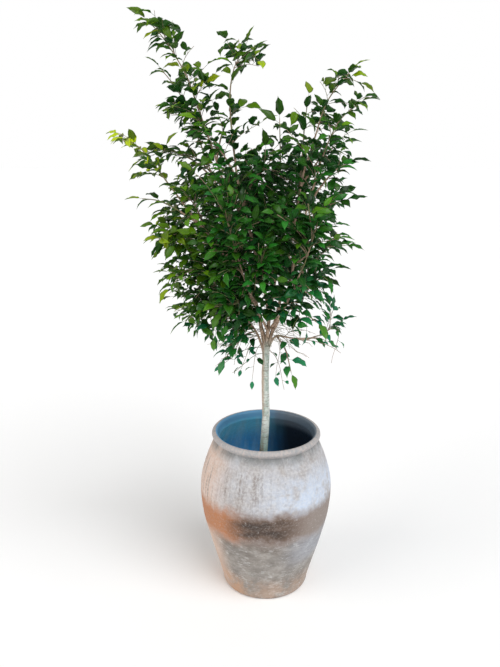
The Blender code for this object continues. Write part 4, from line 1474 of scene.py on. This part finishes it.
    def fired_band(self, tree: ShaderTree, mottling: Mottling, turn: Any, right: Any, level: Any) -> Any:
        """The band at the belly: orange at the left, scorched in the middle, taupe at the right.

        Args:
            tree: the material's tree.
            mottling: the group for mottled masks.
            turn, right: the jar's attribute, and its first part.
            level: the height, made uneven.

        Returns:
            Its colour's socket.
        """
        band = tree.mix(tree.step(right, -0.66, -0.20), self.band_orange, self.band_brown)
        band = tree.mix(tree.step(right, 0.15, 0.75), band, self.band_taupe)
        smoke = tree.noise(tree.scaled(turn, 1, 1, 10), 1.6, 5.0)
        across = tree.times(tree.step(right, -0.72, -0.30), tree.step(right, 0.62, 0.05))
        tall = tree.times(tree.step(level, 0.270, 0.315), tree.step(level, 0.392, 0.345))
        scorch = tree.times(tree.times(across, tall), tree.step(smoke, 0.22, 0.58))
        band = tree.mix(tree.times(scorch, 0.95), band, self.band_dark)
        speckle = mottling.mask(tree, tree.scaled(turn, 12, 12, 60), 2.4, 0.56, 0.10)
        return tree.mix(tree.times(speckle, 0.28), band, self.wash_grey)

    def low_coat(self, tree: ShaderTree, mottling: Mottling, turn: Any, right: Any, height: Any) -> Any:
        """The mottled lower part, scratched round by the wheel, and its rusty foot, with painted warm light
        on the left and painted cool light on the right.

        Args:
            tree: the material's tree.
            mottling: the group for mottled masks.
            turn, right, height: the jar's attribute, and its first and last parts.

        Returns:
            Its colour's socket.
        """
        cloudy = mottling.mask(tree, tree.scaled(turn, 1.3, 1.3, 9), 2.4, 0.5, 0.16)
        colour = tree.mix(cloudy, self.low_dark, self.low_pale)
        stained = mottling.mask(tree, tree.scaled(turn, 1.5, 1.5, 15), 3.0, 0.50, 0.14)
        below = tree.step(height, 0.15, 0.26, 0.35, 0.75)
        colour = tree.mix(tree.times(stained, below), colour, self.low_stain)
        # Painted cool light: the right side of the lower part is tinted pale blue.
        painted_cool_light = tree.times(tree.step(right, 0.1, 0.7), tree.step(height, 0.12, 0.20))
        colour = tree.mix(tree.times(painted_cool_light, 0.7), colour, self.painted_cool_light_low)
        scratches = tree.noise(tree.scaled(turn, 5, 5, 130), 1.6, 4.0, 0.65)
        colour = tree.mix(tree.step(scratches, 0.52, 0.70, 0.0, 0.45), colour, self.low_stain)
        chalky = mottling.mask(tree, tree.scaled(turn, 2.6, 2.6, 12), 2.2, 0.55, 0.08)
        chalk = tree.times(chalky, tree.step(scratches, 0.56, 0.40))
        colour = tree.mix(tree.times(chalk, 0.42), colour, self.fleck)
        # Painted warm light: the left side of the lower part is tinted warm.
        side = tree.step(right, -0.60, -0.95, 0.0, 0.7)
        colour = tree.mix(side, colour, self.painted_warm_light_tint)
        rusty = mottling.mask(tree, tree.scaled(turn, 2, 2, 9), 1.8, 0.46, 0.15)
        rust = tree.times(rusty, tree.step(height, 0.12, 0.05))
        rust = tree.times(rust, tree.step(right, -0.2, -0.7, 0.4, 0.85))
        return tree.mix(rust, colour, self.foot_rust)


@dataclass(frozen=True)
class GlazedInside:
    """The jar's inside: a blue-grey glaze with paler runs and worn scratches, painted bright blue on the left
    and painted grey to near-black on the right and lower down, for the light and shade inside the jar.
    """

    pale: Colour = tint(170, 218, 244)
    lip: Colour = tint(98, 162, 206)
    # The blue of the inside's left side, painted bright where the light reaches.
    blue: Colour = tint(116, 216, 255)
    # Painted shade: the blue lower down inside.
    painted_shade_blue: Colour = tint(66, 162, 232)
    grey: Colour = tint(98, 110, 122)
    # Painted shade deep in the inside's right side.
    dark: Colour = tint(26, 40, 56)

    def material(self, mottling: Mottling) -> bpy.types.Material:
        """The finish as a material, laid by the jar's "turn" attribute."""
        made, tree, shader = new_material("blue_glaze_with_painted_shade")
        turn = tree.add("ShaderNodeAttribute", attribute_name="turn").outputs["Vector"]
        right, _, height = tree.split(turn)
        uneven = tree.times(tree.maths("SUBTRACT", tree.noise(turn, 2.2, 3.0), 0.5), 0.5)
        across = tree.maths("ADD", right, uneven)
        scratches = mottling.mask(tree, tree.scaled(turn, 9, 9, 60), 2.0, 0.5, 0.1)
        # Painted shade: the blue darkens lower down inside the jar.
        blue = tree.mix(tree.step(height, 0.55, 0.46), self.blue, self.painted_shade_blue)
        runs = tree.noise(tree.scaled(turn, 6, 6, 5), 1.0, 5.0, 0.65)
        blue = tree.mix(tree.step(runs, 0.40, 0.66, 0.0, 0.35), blue, self.pale)
        blue = tree.mix(tree.times(scratches, 0.14), blue, self.grey)
        blue = tree.mix(tree.step(height, 0.566, 0.584), blue, self.lip)
        # Painted shade: the right side of the inside is grey, going to near-black lower down, against the
        # bright blue left.
        dull = tree.mix(tree.step(height, 0.56, 0.53), self.grey, self.dark)
        colour = tree.mix(tree.step(across, -0.25, 0.50), blue, dull)
        tree.paint(shader, colour, tree.step(scratches, 0.0, 1.0, 0.28, 0.5), scratches, 0.25, 0.0008)
        return made


@dataclass(frozen=True)
class FigBark:
    """The bark: pale grey-green on the trunk, brown in the crown's fork, and tan on the young wood, with
    painted shade: brown and tan down the trunk's left side and a darker green-grey low down.
    """

    pale: Colour = tint(246, 251, 244)
    green: Colour = tint(176, 196, 184)
    shaded: Colour = tint(150, 180, 168)
    # Brown and tan are the fork's and the young wood's own colours, and are also painted down the trunk's
    # left side as shade.
    brown: Colour = tint(128, 100, 76)
    tan: Colour = tint(200, 170, 146)
    crack: Colour = tint(84, 76, 66)
    lenticel: Colour = tint(228, 222, 208)

    def material(self, mottling: Mottling) -> bpy.types.Material:
        """The finish as a material, laid by Object coordinates."""
        made, tree, shader = new_material("fig_bark_grey")
        place = tree.add("ShaderNodeTexCoord").outputs["Object"]
        right, _, height = tree.split(place)
        fine = tree.scaled(place, 1, 1, 0.55)
        colour = tree.mix(mottling.mask(tree, fine, 46, 0.5, 0.12), self.green, self.pale)
        # Painted shade: the trunk is darker low down, near the jar's mouth.
        low = tree.step(height, 0.64, 0.52)
        colour = tree.mix(tree.times(low, 0.80), colour, self.shaded)
        # Painted shade: brown and, higher up, tan down the trunk's left side; a little brown all round is the
        # bark's own.
        left = tree.step(right, -0.004, -0.014)
        brown = tree.times(mottling.mask(tree, fine, 22, 0.47, 0.08), tree.maths("ADD", left, 0.15))
        brown = tree.times(brown, tree.step(height, 0.62, 0.50, 0.15, 0.75))
        colour = tree.mix(brown, colour, self.brown)
        colour = tree.mix(tree.times(left, tree.step(height, 0.60, 0.70, 0.0, 0.80)), colour, self.tan)
        woody = tree.mix(mottling.mask(tree, fine, 60, 0.42, 0.15), self.brown, self.tan)
        colour = tree.mix(tree.step(height, 0.88, 0.96), colour, woody)
        rings = tree.noise(tree.scaled(place, 0.16, 0.16, 1), 210, 3.0, 0.6)
        colour = tree.mix(tree.step(rings, 0.52, 0.66, 0.0, 0.45), colour, self.brown)
        marks = tree.noise(tree.scaled(place, 1, 1, 3.2), 240, 2.0)
        colour = tree.mix(tree.step(marks, 0.62, 0.70, 0.0, 0.8), colour, self.lenticel)
        colour = tree.mix(tree.step(marks, 0.36, 0.28, 0.0, 0.7), colour, self.crack)
        tree.paint(shader, colour, tree.step(marks, 0.3, 0.7, 0.9, 0.7), marks, 0.5, 0.0010)
        return made


@dataclass(frozen=True)
class TwigBark:
    """The twigs' bark: tan and pinkish, with green on the young ends."""

    tan: Colour = tint(190, 160, 136)
    brown: Colour = tint(112, 90, 76)
    green: Colour = tint(126, 126, 82)

    def material(self, mottling: Mottling) -> bpy.types.Material:
        """The finish as a material, laid by Object coordinates."""
        made, tree, shader = new_material("fig_twig_bark")
        place = tree.add("ShaderNodeTexCoord").outputs["Object"]
        colour = tree.mix(mottling.mask(tree, place, 30, 0.5, 0.2), self.brown, self.tan)
        colour = tree.mix(mottling.mask(tree, place, 9, 0.52, 0.1), colour, self.green)
        grain = tree.noise(tree.scaled(place, 1, 1, 0.4), 420, 2.0)
        tree.paint(shader, colour, tree.step(grain, 0.3, 0.7, 0.6, 0.8), grain, 0.3, 0.0004)
        return made


@dataclass(frozen=True)
class LeafSkin:
    """The leaves: glossy green above with a paler rib and side veins, dull and paler underneath, and a
    painted teal reflection on the low ones.
    """

    deep: Colour = (0.001, 0.014, 0.001)
    mid: Colour = (0.016, 0.195, 0.016)
    olive_deep: Colour = (0.016, 0.064, 0.001)
    olive: Colour = (0.140, 0.285, 0.002)
    young: Colour = (0.520, 0.660, 0.004)
    warm: Colour = (0.420, 0.210, 0.050)
    # Painted reflection: the teal sheen of the low leaves.
    painted_cool_light: Colour = (0.006, 0.260, 0.135)
    rib: Colour = (0.080, 0.210, 0.040)
    under: Colour = (0.014, 0.095, 0.014)
    shine: float = 0.19

    def material(self, mottling: Mottling) -> bpy.types.Material:
        """The finish as a material, laid by the blade's UV map and the leaf's tone."""
        made, tree, shader = new_material("fig_leaf_skin")
        tone = tree.add("ShaderNodeAttribute", attribute_name="leaf_tone")
        shade, youth, kind = tree.split(tone.outputs["Vector"])
        warmth_and_painted_sheen = tone.outputs["Alpha"]
        flat = tree.add("ShaderNodeUVMap", uv_map="blade").outputs["UV"]
        across, along, _ = tree.split(flat)
        off_rib = tree.maths("ABSOLUTE", tree.maths("SUBTRACT", across, 0.5))
        green = tree.mix(shade, self.deep, self.mid)
        olive = tree.mix(shade, self.olive_deep, self.olive)
        colour = tree.mix(tree.step(youth, 0.0, 0.5), green, olive)
        colour = tree.mix(tree.step(youth, 0.5, 1.0), colour, self.young)
        # Painted reflection: a teal sheen where the tone's warmth is low.
        colour = tree.mix(tree.step(warmth_and_painted_sheen, 0.5, 0.0, 0.0, 0.85), colour, self.painted_cool_light)
        edge = tree.maths("MAXIMUM", tree.step(along, 0.5, 1.0), tree.step(off_rib, 0.25, 0.5))
        colour = tree.mix(tree.times(tree.step(warmth_and_painted_sheen, 0.6, 1.0), edge), colour, self.warm)
        place = tree.add("ShaderNodeTexCoord").outputs["Object"]
        blotch = mottling.mask(tree, place, 70, 0.5, 0.2)
        colour = tree.mix(tree.times(blotch, 0.12), colour, olive)
        slant = tree.maths("SUBTRACT", tree.times(along, 70.0), tree.times(off_rib, 60.0))
        veins = tree.step(tree.maths("SINE", slant), 0.55, 1.0)
        rib = tree.step(off_rib, 0.045, 0.015)
        lines = tree.maths("MAXIMUM", rib, tree.times(veins, 0.25))
        colour = tree.mix(tree.times(lines, 0.35), colour, self.rib)
        below = tree.step(kind, 0.2, 0.4)
        colour = tree.mix(tree.times(below, 0.75), colour, self.under)
        gloss = tree.maths("ADD", tree.step(blotch, 0.0, 1.0, 0.20, 0.32), tree.times(below, 0.22))
        tree.paint(shader, colour, gloss, lines, 0.25, 0.0006)
        shader.inputs["Specular IOR Level"].default_value = self.shine
        return made


@dataclass(frozen=True)
class PottingMix:
    """The soil: dark, damp and crumbly, with paler bits of bark."""

    dark: Colour = tint(38, 30, 24)
    brown: Colour = tint(74, 58, 44)
    bits: Colour = tint(124, 100, 76)

    def material(self, mottling: Mottling) -> bpy.types.Material:
        """The finish as a material, laid by Object coordinates."""
        made, tree, shader = new_material("dark_potting_mix")
        place = tree.add("ShaderNodeTexCoord").outputs["Object"]
        colour = tree.mix(mottling.mask(tree, place, 90, 0.5, 0.15), self.dark, self.brown)
        colour = tree.mix(mottling.mask(tree, place, 260, 0.60, 0.05), colour, self.bits)
        grain = tree.noise(place, 700, 3.0)
        tree.paint(shader, colour, tree.step(grain, 0.3, 0.7, 0.8, 1.0), grain, 0.8, 0.0012)
        return made


# Studio

@dataclass
class Studio:
    """The camera, the pale floor and the soft light."""

    camera_at: tuple[float, float, float] = (-0.058, -2.174, 1.567)
    camera_down: float = 15.66
    lens: float = 35.24
    sensor: float = 36.0
    floor_size: float = 120.0
    sky: float = 0.45

    def build(self) -> None:
        """Makes the camera, the floor, the lights and the sky."""
        scene = bpy.context.scene
        camera = bpy.data.cameras.new("photo_camera")
        camera.lens, camera.sensor_width = self.lens, self.sensor
        eye = bpy.data.objects.new("photo_camera", camera)
        eye.location = self.camera_at
        eye.rotation_euler = (math.radians(90 - self.camera_down), 0.0, 0.0)
        scene.collection.objects.link(eye)
        scene.camera = eye

        floor = bmesh.new()
        bmesh.ops.create_grid(floor, x_segments=1, y_segments=1, size=self.floor_size / 2)
        mesh = finished(floor, "floor")
        paint, _, shader = new_material("pale_floor")
        shader.inputs["Base Color"].default_value = (0.98, 0.98, 0.98, 1.0)
        shader.inputs["Roughness"].default_value = 0.9
        mesh.materials.append(paint)
        ground = bpy.data.objects.new("floor", mesh)
        scene.collection.objects.link(ground)

        world = bpy.data.worlds.new("sky")
        world.use_nodes = True
        sky = ShaderTree(world.node_tree)
        seen = sky.add("ShaderNodeLightPath").outputs["Is Camera Ray"]
        strength = sky.step(seen, 0.0, 1.0, self.sky, 1.0)
        world.node_tree.links.new(strength, world.node_tree.nodes["Background"].inputs["Strength"])
        world.node_tree.nodes["Background"].inputs["Color"].default_value = (1.0, 1.0, 1.0, 1.0)
        scene.world = world
        self.sun("key", (1.25, -1.5, 2.4), 45.0, 1.95, (0.98, 0.99, 1.0))
        self.sun("fill", (-2.0, -1.0, 1.2), 45.0, 0.95, (1.0, 0.96, 0.91))
        scene.view_settings.view_transform = "Standard"

    def sun(
        self, name: str, towards: tuple[float, float, float], spread: float, power: float, colour: Colour
    ) -> None:
        """Makes a broad, soft light from far away, which lights the floor evenly.

        Args:
            name: its name.
            towards: the direction that it shines from.
            spread: how many degrees across it is, which softens its shadows.
            power: its strength.
            colour: its colour.
        """
        light = bpy.data.lights.new(name, "SUN")
        light.angle, light.energy, light.color = math.radians(spread), power, colour
        lamp = bpy.data.objects.new(name, light)
        lamp.rotation_euler = (-Vector(towards)).to_track_quat("-Z", "Y").to_euler()
        bpy.context.scene.collection.objects.link(lamp)


def main() -> None:
    """Builds the studio, the jar, the soil and the tree, and writes how large it all is."""
    logging.basicConfig(level=logging.INFO, format="%(name)s: %(message)s")
    Studio().build()
    mottling = Mottling(mottling_group())
    jar = EarthenJar()
    jar.build_jar(WeatheredEarthenware().material(mottling), GlazedInside().material(mottling))
    jar.build_soil(PottingMix().material(mottling))
    fig = WeepingFig()
    fig.grow()
    fig.build_wood(FigBark().material(mottling))
    fig.build_twigs(TwigBark().material(mottling))
    fig.build_leaves(LeafSkin().material(mottling))


if __name__ == "__main__":
    main()
